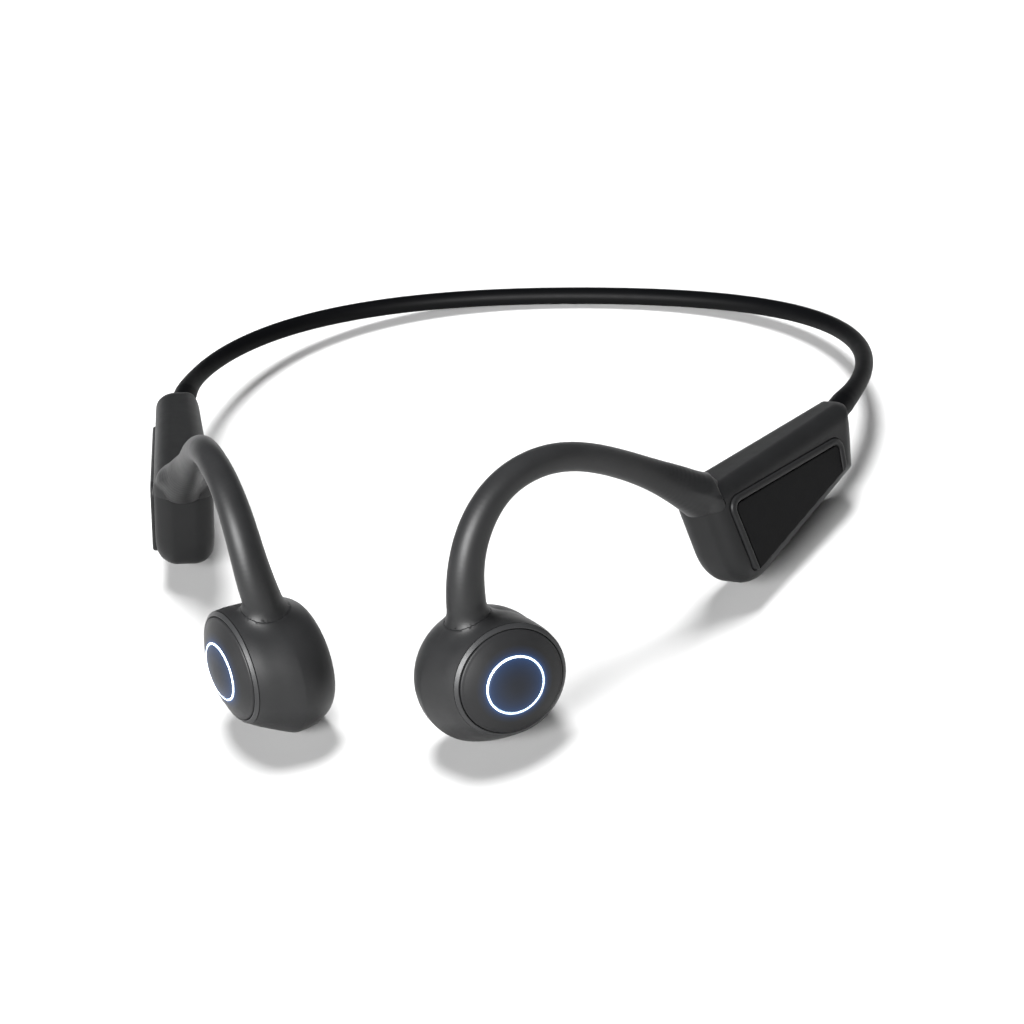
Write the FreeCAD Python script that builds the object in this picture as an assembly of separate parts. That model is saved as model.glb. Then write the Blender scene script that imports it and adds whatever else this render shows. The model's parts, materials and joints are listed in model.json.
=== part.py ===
"""Bone conduction headphones: a wire-cored neckband, two pods, two ear hooks and two transducer capsules.

The headset lies on a flat surface at z = 0. +X is the wearer's left, -Y is the front, where the capsules
are, and +Z is up. The origin is the middle of the footprint. Everything that has a twin is drawn once, on
the wearer's left, and mirrored in the plane x = 0. Lengths are in millimetres and angles in degrees.
"""
import FreeCAD, Part
import math
import os

V = FreeCAD.Vector

# Neckband: half of its centre line is one Bezier curve, from the pod to the middle of the nape.
BAND_POLES = [V(75.1, 20.3, 15.9), V(75.4, 22.4, 16.3), V(89.0, 80.3, 1.95), V(0, 80.3, 1.95)]
BAND_RUNS = 9
BAND_RADIUS = 1.95
BAND_TAIL = 7.0
BAND_WIRE_RADIUS = 0.45
BAND_CABLE_RADIUS = 0.55
BAND_CABLE_OFFSET = 1.25
BAND_SHARE = 0.499
COLLAR_SET_IN = 2.0
COLLAR_LENGTH = 7.0
COLLAR_RADIUS = 2.8

# Pod: a flat tapered case that stands on edge, splayed outwards to the rear and leaning out at the foot.
POD_ORIGIN = V(57.0, -27.9, 16.4)
POD_SPLAY = 21.0
POD_LEAN = 12.0
POD_LENGTH = 48.0
POD_FRONT_TOP = 11.4
POD_NOSE = -1.9
POD_FRONT_FOOT = -14.2
POD_CHIN = 10.0
POD_REAR_TOP = 3.0
POD_REAR_FOOT = -10.2
POD_REAR_SLANT = 7.5
POD_OUTER = 4.9
POD_INNER_FRONT = -6.4
POD_INNER_REAR = -2.9
POD_TOP_EDGE = 3.4
POD_FOOT_EDGE = 4.6
POD_FOOT_EDGE_STEP = 1.4
POD_FOOT_EDGE_TAPER = 1.4
POD_WALL = 1.4
POD_PARTING = 6.5

# Raised cover on the outer face of the pod.
COVER_CORNERS = [(2.5, 7.9, 3.2), (40.5, -0.8, 3.0), (38.8, -7.6, 1.5), (3.1, -10.0, 1.8)]
COVER_RISE = 1.3
COVER_CHAMFER = 0.9
COVER_LIP = 1.2
COVER_FLANGE = 1.7
GASKET_THICKNESS = 0.3

# Foot of the hook, over the top front corner of the pod: how far back it reaches on the two faces.
BOOT_REAR_OUTER = 1.9
BOOT_REAR_INNER = 10.7
BOOT_PROUD = 0.25

# Pieces inside the pods: the battery in one, the main board in the other.
BATTERY_CENTRE = (19.5, -1.0)
BATTERY_LENGTH = 22.0
BATTERY_HEIGHT = 10.0
BATTERY_LEVEL = -2.2
BATTERY_THICKNESS = 4.9
GUARD_CENTRE = (34.5, -1.0)
BOARD_CENTRE = (17.4, -1.4)
BOARD_LENGTH = 18.8
BOARD_HEIGHT = 8.6
BOARD_LEVEL = 2.2
BOARD_THICKNESS = 0.8
CAN_CENTRE = (13.0, -1.4)
ANTENNA_CENTRE = (21.5, 1.4)

# Ear hook: centre line from inside the capsule, over the ear, down into the nose of the pod.
HOOK_ROUTE = [V(20.8, -68.6, 26.2), V(21.4, -68.5, 32.2), V(22.4, -67.1, 38.9), V(24.6, -63.3, 45.6),
              V(28.6, -57.4, 50.2), V(34.2, -50.2, 50.8), V(39.8, -42.6, 46.8), V(45.2, -35.7, 39.9),
              V(50.0, -30.2, 32.9), V(54.7, -26.3, 26.5), V(57.5, -23.0, 20.0)]
HOOK_RADII = [4.6, 3.9, 3.5, 3.25, 3.0, 2.9, 2.85, 2.85, 3.2, 4.1, 4.4]
HOOK_WIRE_RADIUS = 0.5
HOOK_CABLE_RADIUS = 0.5
HOOK_CABLE_OFFSET = 1.2

# Capsule: a short barrel whose axis points forwards and outwards, with a disc on its outer end.
CAPSULE_CENTRE = V(24.8, -69.2, 15.8)
CAPSULE_AZIMUTH = 42.0
CAPSULE_ELEVATION = 10.0
BARREL_SHIFT = V(-2.2, -1.6, 0)
BARREL_LEAN_DEPTH = 8.0
BARREL_STATIONS = [(5.9, 11.9), (4.6, 12.3), (2.6, 12.8), (-1.0, 13.6),
                   (-4.6, 13.6), (-7.6, 12.6), (-9.5, 11.0), (-10.2, 9.9)]
CAPSULE_INNER_END = -10.2
CAPSULE_RIDGE = 5.9
MOUTH_HEIGHT = 6.9
MOUTH_RADIUS = 10.9
THROAT_RADIUS = 8.6
CAPSULE_CAVITY = 12.2
CAP_RADIUS = 10.6
CAP_GROOVE = 0.15
CAP_DOME = 21.0
CAP_TOP = 9.05
CAP_SEAT = 5.4
RING_OUTER = 6.0
RING_INNER = 5.1
PAD_RADIUS = 9.8
PAD_THICKNESS = 1.5
BOARD_SEAT = 4.6
BOARD_RADIUS = 9.3
SWITCH_HEIGHT = 0.7

# Button in the middle of the disc, and the transducer behind it.
BUTTON_RADIUS = 4.98
BUTTON_THICKNESS = 1.0
BUTTON_TRAVEL = 0.3
BUTTON_GAP = 0.05
STEM_RADIUS = 1.6
SEAL_THICKNESS = 0.5
PAD_BACKING = 0.6
SPRING_THICKNESS = 0.4
SPRING_INNER = 5.6
YOKE_RADIUS = 8.2
YOKE_TOP = 0.4
YOKE_FLOOR = 1.0
MAGNET_RADIUS = 4.3
COIL_OUTER = 6.4
COIL_INNER = 4.9

# Controls on the underside of the right pod, placed by their distance from the nose.
MICROPHONE_AT = 8.0
VOLUME_UP_AT = 13.5
VOLUME_DOWN_AT = 21.5
PORT_AT = 32.0
KEY_LENGTH = 6.0
KEY_WIDTH = 2.2
KEY_RISE = 0.5
KEY_TRAVEL = 0.3
KEY_GAP = 0.1
KEY_FLANGE = 0.8
KEY_SEAT_GAP = 0.05
KEY_BOARD_DEPTH = -4.6
PORT_LENGTH = 9.0
PORT_WIDTH = 3.2
FLAP_LENGTH = 11.0
FLAP_WIDTH = 4.2
FLAP_THICKNESS = 1.0


def placed(origin, x_axis, y_axis, z_axis):
    """Placement that carries a local frame onto three perpendicular unit axes at an origin."""
    matrix = FreeCAD.Matrix(x_axis.x, y_axis.x, z_axis.x, origin.x,
                            x_axis.y, y_axis.y, z_axis.y, origin.y,
                            x_axis.z, y_axis.z, z_axis.z, origin.z, 0, 0, 0, 1)
    return FreeCAD.Placement(matrix)


def moved(shape, placement):
    """A copy of a shape, carried by a placement."""
    copy = shape.copy()
    copy.Placement = placement.multiply(copy.Placement)
    return copy


def mirrored(shape):
    """The twin of a shape on the other side of the plane x = 0."""
    return shape.mirror(V(0, 0, 0), V(1, 0, 0))


def pod_placement():
    """Local x runs back along the pod, y up its face and z outwards, away from the head."""
    splay = math.radians(POD_SPLAY)
    lean = math.radians(POD_LEAN)
    along = V(math.sin(splay), math.cos(splay), 0)
    level = V(math.cos(splay), -math.sin(splay), 0)
    out = level * math.cos(lean) + V(0, 0, 1) * math.sin(lean)
    return placed(POD_ORIGIN, along, out.cross(along), out)


def capsule_placement():
    """Local z is the barrel's axis, outwards, and local y is as near to up as it can be."""
    azimuth = math.radians(CAPSULE_AZIMUTH)
    elevation = math.radians(CAPSULE_ELEVATION)
    across = V(math.cos(azimuth), math.sin(azimuth), 0)
    level = V(math.sin(azimuth), -math.cos(azimuth), 0)
    out = level * math.cos(elevation) + V(0, 0, 1) * math.sin(elevation)
    return placed(CAPSULE_CENTRE, across, out.cross(across), out)


POD = pod_placement()
CAPSULE = capsule_placement()


def outline(corners, plane):
    """Closed wire through (a, b, radius) corners; plane turns a and b into a point."""
    count = len(corners)
    starts, ends, arcs = [], [], []
    for index, (a, b, radius) in enumerate(corners):
        here = V(a, b, 0)
        before = V(corners[index - 1][0], corners[index - 1][1], 0) - here
        after = V(corners[(index + 1) % count][0], corners[(index + 1) % count][1], 0) - here
        before.normalize()
        after.normalize()
        if radius == 0:
            starts.append(here)
            ends.append(here)
            arcs.append(None)
            continue
        half = before.getAngle(after) / 2
        reach = radius / math.tan(half)
        bisector = before + after
        bisector.normalize()
        starts.append(here + before * reach)
        ends.append(here + after * reach)
        arcs.append(here + bisector * (radius / math.sin(half) - radius))
    edges = []
    for index in range(count):
        start, end = [plane(p.x, p.y) for p in (starts[index], ends[index])]
        if arcs[index] is not None:
            edges.append(Part.Arc(start, plane(arcs[index].x, arcs[index].y), end).toShape())
        following = starts[(index + 1) % count]
        following = plane(following.x, following.y)
        if end.distanceToPoint(following) > 1e-6:
            edges.append(Part.makeLine(end, following))
    return Part.Wire(edges)


def turned(corners):
    """Solid of revolution about local z, from (radius, height, rounding) corners."""
    face = Part.Face(outline(corners, lambda a, b: V(a, 0, b)))
    return face.revolve(V(0, 0, 0), V(0, 0, 1), 360)


def plate(corners, low, high):
    """Straight prism between two heights along local z."""
    face = Part.Face(outline(corners, lambda a, b: V(a, b, low)))
    return face.extrude(V(0, 0, high - low))


def ring(outer, inner, low, high):
    """Plain ring about local z."""
    tube = Part.makeCylinder(outer, high - low, V(0, 0, low))
    return tube.cut(Part.makeCylinder(inner, high - low, V(0, 0, low)))


def block(length, width, low, high, centre=(0, 0), rounding=0):
    """Box about a centre in the local xy plane, with rounded upright corners."""
    a, b = centre
    corners = [(a - length / 2, b - width / 2, rounding), (a + length / 2, b - width / 2, rounding),
               (a + length / 2, b + width / 2, rounding), (a - length / 2, b + width / 2, rounding)]
    return plate(corners, low, high)


def bent_path(points, share=0.45):
    """Straight runs joined by tangent arcs, each as large as its two runs allow."""
    edges = []
    last = points[0]
    for before, here, after in zip(points, points[1:], points[2:]):
        back = before - here
        ahead = after - here
        reach = share * min(back.Length, ahead.Length)
        back.normalize()
        ahead.normalize()
        half = back.getAngle(ahead) / 2
        bisector = back + ahead
        bisector.normalize()
        middle = here + bisector * (reach / math.cos(half) - reach * math.tan(half))
        start = here + back * reach
        end = here + ahead * reach
        edges.append(Part.makeLine(last, start))
        edges.append(Part.Arc(start, middle, end).toShape())
        last = end
    edges.append(Part.makeLine(last, points[-1]))
    return Part.Wire(edges)


def swept(path, radius, offset=0):
    """Round rod that follows a path, or runs beside it at a constant offset."""
    first = path.OrderedEdges[0]
    start = first.valueAt(first.FirstParameter)
    heading = first.tangentAt(first.FirstParameter)
    side = heading.cross(V(0, 0, 1))
    side.normalize()
    circle = Part.Circle(start + side.cross(heading) * offset, heading, radius).toShape()
    return path.makePipe(Part.Face(Part.Wire([circle])))


def band_route():
    """Corners of the neckband's path, from the right pod round the nape to the left pod."""
    curve = Part.BezierCurve()
    curve.setPoles(BAND_POLES)
    half = [curve.value(step / BAND_RUNS) for step in range(BAND_RUNS + 1)]
    heading = half[0] - half[1]
    heading.normalize()
    half[0] = half[0] + heading * BAND_TAIL
    twin = [V(-point.x, point.y, point.z) for point in half[:-1]]
    return twin + half[::-1]


def neckband_envelope():
    """Outer form of the neckband sleeve: a round tube with a tapered collar at each pod."""
    route = band_route()
    sleeve = swept(bent_path(route, BAND_SHARE), BAND_RADIUS)
    heading = route[-2] - route[-1]
    heading.normalize()
    mouth = route[-1] + heading * (BAND_TAIL - COLLAR_SET_IN)
    collar = Part.makeCone(COLLAR_RADIUS, BAND_RADIUS, COLLAR_LENGTH, mouth, heading)
    return sleeve.fuse([collar, mirrored(collar)]).removeSplitter()


def neckband():
    path = bent_path(band_route(), BAND_SHARE)
    wire = swept(path, BAND_WIRE_RADIUS)
    cable = swept(path, BAND_CABLE_RADIUS, BAND_CABLE_OFFSET)
    sleeve = neckband_envelope().cut([wire, cable])
    return {"neckband_wire": wire, "neckband_cable": cable, "neckband_sleeve": sleeve}


def pod_section(station, shrink):
    """Rounded outline of the pod's cross-section at a distance behind the nose."""
    back = station / POD_LENGTH
    top = POD_FRONT_TOP + (POD_REAR_TOP - POD_FRONT_TOP) * back - shrink
    foot = POD_FRONT_FOOT + (POD_REAR_FOOT - POD_FRONT_FOOT) * back + shrink
    inner = POD_INNER_FRONT + (POD_INNER_REAR - POD_INNER_FRONT) * back + shrink
    outer = POD_OUTER - shrink
    top_edge = POD_TOP_EDGE - 0.8 * shrink
    foot_edge = POD_FOOT_EDGE - 0.8 * shrink - POD_FOOT_EDGE_TAPER * back
    corners = [(foot, inner, foot_edge), (top, inner, top_edge), (top, outer, top_edge),
               (foot, outer, foot_edge - POD_FOOT_EDGE_STEP)]
    return outline(corners, lambda a, b: V(station, a, b))


def pod_envelope(shrink=0.0):
    """The pod's outer form, or the same form drawn in by a wall thickness."""
    stations = (POD_NOSE - 1, POD_LENGTH + 1)
    tapered = Part.makeLoft([pod_section(station, shrink) for station in stations], True, True)
    front, rear = POD_NOSE + shrink, POD_LENGTH - shrink
    foot = POD_FRONT_FOOT + shrink
    top = POD_FRONT_TOP - shrink
    side = [(front, foot, POD_CHIN), (rear - POD_REAR_SLANT, foot, 3.0), (rear, POD_REAR_TOP - shrink, 1.5),
            (rear, top, 0), (front, top, 3.0)]
    upright = Part.Face(outline(side, lambda a, b: V(a, b, -20))).extrude(V(0, 0, 40))
    nose = (POD_OUTER - POD_INNER_FRONT) / 2 - 0.05 - shrink
    plan = [(front, POD_INNER_FRONT + shrink, nose), (rear, POD_INNER_FRONT + shrink, 4.0),
            (rear, POD_OUTER - shrink, 6.0), (front, POD_OUTER - shrink, nose)]
    flat = Part.Face(outline(plan, lambda a, b: V(a, -20, b))).extrude(V(0, 40, 0))
    return tapered.common(upright).common(flat)


def boot_zone(grow=0.0):
    """Space at the top front corner of the pod that the foot of the hook takes up."""
    low = POD_PARTING - grow
    slope = (BOOT_REAR_INNER - BOOT_REAR_OUTER) / (POD_OUTER - POD_INNER_FRONT)
    far = 12.0
    rear_inner = BOOT_REAR_OUTER + slope * (POD_OUTER + far) + grow
    rear_outer = BOOT_REAR_OUTER + slope * (POD_OUTER - far) + grow
    corners = [(-far, -far, 0), (rear_inner, -far, 0), (rear_outer, far, 0), (-far, far, 0)]
    return Part.Face(outline(corners, lambda a, b: V(a, low, b))).extrude(V(0, 30, 0))


def cover_prism(inset, low, high):
    """Prism on the cover's outline, drawn in by an inset."""
    wire = outline(COVER_CORNERS, lambda a, b: V(a, b, low))
    if inset:
        wire = wire.makeOffset2D(-inset)
    return Part.Face(wire).extrude(V(0, 0, high - low))


def pod_shell():
    cavity = pod_envelope(POD_WALL).cut(boot_zone(POD_WALL))
    opening = cover_prism(COVER_FLANGE, POD_OUTER - 2 * POD_WALL, POD_OUTER + 1)
    return pod_envelope().cut([boot_zone(), cavity, opening])


def pod_gasket():
    frame = cover_prism(0.4, POD_OUTER, POD_OUTER + GASKET_THICKNESS)
    return frame.cut(cover_prism(COVER_FLANGE, POD_OUTER, POD_OUTER + GASKET_THICKNESS))


def pod_cover():
    top = POD_OUTER + COVER_RISE
    panel = cover_prism(0, POD_OUTER + GASKET_THICKNESS, top)
    rim = [edge for edge in panel.Edges if edge.BoundBox.ZMin > top - 0.01]
    panel = panel.makeChamfer(COVER_CHAMFER, rim)
    lip = cover_prism(COVER_FLANGE + 0.1, POD_OUTER - COVER_LIP, POD_OUTER + GASKET_THICKNESS)
    return panel.fuse(lip).removeSplitter()


def underside(distance):
    """Placement on the flat of the pod's underside: x runs back, y outwards and z downwards, out of it."""
    slope = math.atan2(POD_REAR_FOOT - POD_FRONT_FOOT, POD_LENGTH)
    inner = POD_INNER_FRONT + (POD_INNER_REAR - POD_INNER_FRONT) * distance / POD_LENGTH
    middle = (POD_OUTER + inner + POD_FOOT_EDGE_STEP) / 2
    origin = V(distance, POD_FRONT_FOOT + distance * math.tan(slope), middle)
    along = V(math.cos(slope), math.sin(slope), 0)
    down = V(math.sin(slope), -math.cos(slope), 0)
    return POD.multiply(placed(origin, along, V(0, 0, 1), down))


def key(distance):
    """Volume key: a pill that stands out of the underside, with a flange inside the wall."""
    cap = block(KEY_LENGTH, KEY_WIDTH, -POD_WALL - 0.5, KEY_RISE, rounding=KEY_WIDTH / 2 - 0.05)
    seat = -POD_WALL - KEY_SEAT_GAP
    flange = block(KEY_LENGTH + 2 * KEY_FLANGE, KEY_WIDTH + 0.4, -POD_WALL - 1.0, seat, rounding=1.0)
    return moved(cap.fuse(flange).removeSplitter(), underside(distance))


def key_hole(distance):
    clear = 2 * KEY_GAP
    hole = block(KEY_LENGTH + clear, KEY_WIDTH + clear, -POD_WALL - 1, 2, rounding=KEY_WIDTH / 2)
    return moved(hole, underside(distance))


def key_switch(distance):
    top = -POD_WALL - 1.0 - KEY_TRAVEL - KEY_GAP
    return moved(block(3.0, 2.4, KEY_BOARD_DEPTH, top), underside(distance))


def key_board():
    middle = (VOLUME_UP_AT + VOLUME_DOWN_AT) / 2
    span = VOLUME_DOWN_AT - VOLUME_UP_AT + 7.0
    return moved(block(span, 3.0, KEY_BOARD_DEPTH - 0.7, KEY_BOARD_DEPTH), underside(middle))


def port_cuts():
    mouth = block(PORT_LENGTH + 0.2, PORT_WIDTH + 0.2, -POD_WALL - 1, 2, rounding=PORT_WIDTH / 2 - 0.05)
    recess = block(FLAP_LENGTH + 1.0, FLAP_WIDTH + 0.6, -FLAP_THICKNESS - 0.15, 2, rounding=1.2)
    return moved(mouth.fuse(recess), underside(PORT_AT))


def port_flap():
    lid = block(FLAP_LENGTH, FLAP_WIDTH, -FLAP_THICKNESS + 0.1, 0, rounding=1.0)
    plug = block(PORT_LENGTH - 1.4, PORT_WIDTH - 0.8, -POD_WALL - 0.4, -FLAP_THICKNESS + 0.1, (0.4, 0), 0.8)
    return moved(lid.fuse(plug).removeSplitter(), underside(PORT_AT))


def port_socket():
    mouth, floor = -POD_WALL - 0.8, -POD_WALL - 7.6
    can = block(PORT_LENGTH, PORT_WIDTH, floor, mouth, rounding=PORT_WIDTH / 2 - 0.1)
    hollow = block(PORT_LENGTH - 0.6, PORT_WIDTH - 0.6, floor + 1.0, mouth, rounding=PORT_WIDTH / 2 - 0.4)
    tongue = block(PORT_LENGTH - 2.4, 0.7, floor + 1.0, mouth - 0.6)
    return moved(can.cut(hollow).fuse(tongue), underside(PORT_AT))


def microphone():
    return moved(block(3.0, 2.2, -POD_WALL - 1.2, -POD_WALL - 0.1), underside(MICROPHONE_AT))


def microphone_hole():
    return moved(Part.makeCylinder(0.5, 4, V(0, 0, -2)), underside(MICROPHONE_AT))


def pod_electronics():
    """The battery side's pieces and the board side's pieces, all drawn in the left pod."""
    battery_top = BATTERY_LEVEL + BATTERY_THICKNESS
    battery = block(BATTERY_LENGTH, BATTERY_HEIGHT, BATTERY_LEVEL, battery_top, BATTERY_CENTRE, 0.8)
    foam = block(BATTERY_LENGTH - 3, BATTERY_HEIGHT - 3, battery_top, POD_OUTER - POD_WALL, BATTERY_CENTRE)
    guard = block(6.0, 7.0, 0.0, BOARD_THICKNESS, GUARD_CENTRE)
    board = block(BOARD_LENGTH, BOARD_HEIGHT, BOARD_LEVEL, BOARD_LEVEL + BOARD_THICKNESS, BOARD_CENTRE, 0.5)
    can = block(9.0, 7.0, BOARD_LEVEL - 1.3, BOARD_LEVEL, CAN_CENTRE, 0.4)
    aerial = block(5.0, 2.0, BOARD_LEVEL - 0.9, BOARD_LEVEL, ANTENNA_CENTRE)
    left = {"left_battery": battery, "left_battery_foam": foam, "left_battery_board": guard}
    right = {"right_main_board": board, "right_shield_can": can, "right_antenna": aerial}
    return left, right


def capsule_barrel():
    """The barrel's outer form, without its hollow: round sections that lean away from the disc's axis."""
    sections = []
    for height, radius in BARREL_STATIONS:
        lean = min(1.0, (CAPSULE_RIDGE - height) / BARREL_LEAN_DEPTH)
        centre = BARREL_SHIFT * lean + V(0, 0, height)
        sections.append(Part.Wire([Part.Circle(centre, V(0, 0, 1), radius).toShape()]))
    barrel = Part.makeLoft(sections, True, False)
    mouth = Part.makeCone(BARREL_STATIONS[0][1], MOUTH_RADIUS, MOUTH_HEIGHT - CAPSULE_RIDGE,
                          V(0, 0, CAPSULE_RIDGE))
    return barrel.fuse(mouth)


def capsule_shell():
    pad_top = CAPSULE_INNER_END + PAD_THICKNESS
    throat = THROAT_RADIUS
    well = CAP_RADIUS + CAP_GROOVE
    hollow = turned([(0, CAPSULE_INNER_END - 1, 0), (PAD_RADIUS, CAPSULE_INNER_END - 1, 0),
                     (PAD_RADIUS, pad_top, 0), (PAD_RADIUS + 1.1, pad_top, 0),
                     (CAPSULE_CAVITY, pad_top + 2.0, 0), (CAPSULE_CAVITY, -0.5, 0),
                     (throat - 1.0, 3.0, 0), (0, 3.0, 0)])
    hollow.translate(BARREL_SHIFT)
    mouth = turned([(0, 2.0, 0), (throat - 1.0, 2.0, 0), (throat, BOARD_SEAT - 0.8, 0),
                    (throat, BOARD_SEAT, 0), (BOARD_RADIUS, BOARD_SEAT, 0), (BOARD_RADIUS, CAP_SEAT, 0),
                    (well, CAP_SEAT, 0), (well, MOUTH_HEIGHT + 1, 0), (0, MOUTH_HEIGHT + 1, 0)])
    return capsule_barrel().cut([hollow, mouth])


def capsule_face():
    """The pieces of the disc on the capsule's outer end, about local z."""
    wall = CAP_RADIUS - 1.2
    above = CAP_TOP + 2
    dome = Part.makeSphere(CAP_DOME, V(0, 0, CAP_TOP - math.sqrt(CAP_DOME ** 2 - RING_OUTER ** 2)))
    cap = turned([(wall, CAP_SEAT, 0), (CAP_RADIUS, CAP_SEAT, 0), (CAP_RADIUS, above, 0),
                  (RING_OUTER, above, 0), (RING_OUTER, CAP_TOP - 1.2, 0),
                  (RING_OUTER + 1.2, CAP_TOP - 1.5, 0), (wall, CAP_TOP - 2.6, 0)])
    guide = turned([(RING_INNER, above, 0), (RING_OUTER, above, 0),
                    (RING_OUTER, CAP_TOP - 1.2, 0), (RING_OUTER + 1.2, CAP_TOP - 1.5, 0),
                    (RING_OUTER + 1.2, CAP_TOP - 2.0, 0), (RING_INNER, CAP_TOP - 2.0, 0)])
    button_foot = CAP_TOP - BUTTON_THICKNESS
    stem_foot = CAP_SEAT + SWITCH_HEIGHT + BUTTON_TRAVEL + BUTTON_GAP
    button = turned([(0, above, 0), (BUTTON_RADIUS, above, 0),
                     (BUTTON_RADIUS, button_foot, 0), (STEM_RADIUS, button_foot, 0),
                     (STEM_RADIUS, stem_foot, 0), (0, stem_foot, 0)])
    board = Part.makeCylinder(BOARD_RADIUS - 0.1, CAP_SEAT - BOARD_SEAT, V(0, 0, BOARD_SEAT))
    switch = block(3.6, 3.6, CAP_SEAT, CAP_SEAT + SWITCH_HEIGHT, rounding=0.3)
    seal_top = button_foot - BUTTON_TRAVEL - BUTTON_GAP
    seal = ring(BUTTON_RADIUS, BUTTON_RADIUS - 1.4, seal_top - SEAL_THICKNESS, seal_top)
    return {"capsule_cap": cap.common(dome), "light_ring": guide.common(dome), "button": button.common(dome),
            "light_board": board, "button_switch": switch, "button_seal": seal}


def capsule_driver():
    """The bone conduction transducer and the pad on its moving side, about the barrel's axis."""
    pad_top = CAPSULE_INNER_END + PAD_THICKNESS
    plate_foot = pad_top + PAD_BACKING
    plate_top = plate_foot + SPRING_THICKNESS
    clamp = PAD_RADIUS + 1.0
    pad = turned([(0, CAPSULE_INNER_END, 0), (PAD_RADIUS - 0.1, CAPSULE_INNER_END, 0.5),
                  (PAD_RADIUS - 0.1, pad_top, 0), (clamp, pad_top, 0), (clamp, plate_foot, 0),
                  (0, plate_foot, 0)])
    spring = ring(clamp, SPRING_INNER, plate_foot, plate_top)
    for turn in range(3):
        slot = block(4.2, 0.6, plate_foot - 1, plate_top + 1, (0, 9.0))
        slot.rotate(V(0, 0, 0), V(0, 0, 1), 120 * turn)
        spring = spring.cut(slot)
    yoke = Part.makeCylinder(YOKE_RADIUS, YOKE_TOP - plate_top, V(0, 0, plate_top))
    pocket_depth = YOKE_TOP - YOKE_FLOOR - plate_top
    yoke = yoke.cut(Part.makeCylinder(YOKE_RADIUS - 1.2, pocket_depth, V(0, 0, plate_top)))
    magnet_top = YOKE_TOP - YOKE_FLOOR - 0.8
    magnet = Part.makeCylinder(MAGNET_RADIUS, magnet_top - plate_top - 0.8, V(0, 0, plate_top + 0.8))
    coil = ring(COIL_OUTER, COIL_INNER, plate_top, magnet_top - 0.8)
    coil = coil.fuse(ring(SPRING_INNER - 0.1, COIL_INNER, plate_foot, plate_top)).removeSplitter()
    driver = {"contact_pad": pad, "spring_plate": spring, "yoke": yoke, "magnet": magnet, "voice_coil": coil}
    for shape in driver.values():
        shape.translate(BARREL_SHIFT)
    return driver


def hook_tube():
    """Smooth tube through round sections square to the hook's route."""
    sections = []
    for index, (point, radius) in enumerate(zip(HOOK_ROUTE, HOOK_RADII)):
        before = HOOK_ROUTE[max(index - 1, 0)]
        after = HOOK_ROUTE[min(index + 1, len(HOOK_ROUTE) - 1)]
        sections.append(Part.Wire([Part.Circle(point, after - before, radius).toShape()]))
    return Part.makeLoft(sections, True, False)


def hook():
    """Rubber hook with its foot, its spring wire and the cable beside the wire."""
    path = bent_path(HOOK_ROUTE)
    wire = swept(path, HOOK_WIRE_RADIUS)
    cable = swept(path, HOOK_CABLE_RADIUS, HOOK_CABLE_OFFSET)
    foot = moved(pod_envelope(-BOOT_PROUD).common(boot_zone()), POD)
    below = moved(Part.makeBox(40, 40, 40, V(-15, POD_PARTING - 40, -20)), POD)
    tube = hook_tube().cut([moved(capsule_barrel(), CAPSULE), below])
    sleeve = tube.fuse(foot).removeSplitter()
    return sleeve, wire, cable


def side():
    """Both sides' pieces, drawn on the wearer's left; each entry says which sides have it."""
    sleeve, wire, cable = hook()
    band = neckband_envelope()
    shell = moved(pod_shell(), POD)
    both = {"hook_sleeve": sleeve.cut([wire, cable]), "hook_wire": wire, "hook_cable": cable,
            "pod_gasket": moved(pod_gasket(), POD), "pod_cover": moved(pod_cover(), POD),
            "capsule_shell": moved(capsule_shell(), CAPSULE).cut([wire, cable])}
    for name, shape in {**capsule_face(), **capsule_driver()}.items():
        both[name] = moved(shape, CAPSULE)
    shell = shell.cut([sleeve, wire, cable, band])
    left_only, right_only = pod_electronics()
    parts = {"left_pod_shell": shell}
    for name, shape in left_only.items():
        parts[name] = moved(shape, POD)
    openings = [key_hole(VOLUME_UP_AT), key_hole(VOLUME_DOWN_AT), port_cuts(), microphone_hole()]
    parts["right_pod_shell"] = mirrored(shell.cut(openings))
    for name, shape in right_only.items():
        parts[name] = mirrored(moved(shape, POD))
    for label, distance in (("up", VOLUME_UP_AT), ("down", VOLUME_DOWN_AT)):
        parts["right_volume_" + label] = mirrored(key(distance))
        parts["right_volume_" + label + "_switch"] = mirrored(key_switch(distance))
    parts["right_key_board"] = mirrored(key_board())
    parts["right_port_flap"] = mirrored(port_flap())
    parts["right_port_socket"] = mirrored(port_socket())
    parts["right_microphone"] = mirrored(microphone())
    for name, shape in both.items():
        parts["left_" + name] = shape
        parts["right_" + name] = mirrored(shape)
    return parts


def main():
    os.makedirs("parts", exist_ok=True)
    parts = neckband()
    parts.update(side())
    for name, shape in parts.items():
        shape.exportStep(os.path.join("parts", name + ".step"))


main()
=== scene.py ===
"""Looks of the bone conduction headphones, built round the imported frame.

A shape is a field: a function that takes points and gives their distance to the surface, negative inside.
Fields are written in millimetres: the pod's and the capsule's in their own frames on the wearer's left, and
the hook's in the whole object's frame. They are contoured into meshes in metres, and the twin on the other
side is the same mesh mirrored in x = 0. Only the wearer's right pod has keys, a port and a microphone.
"""
import json
import math

import bpy
import bmesh
import numpy as np
from mathutils import Matrix, Vector


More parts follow.
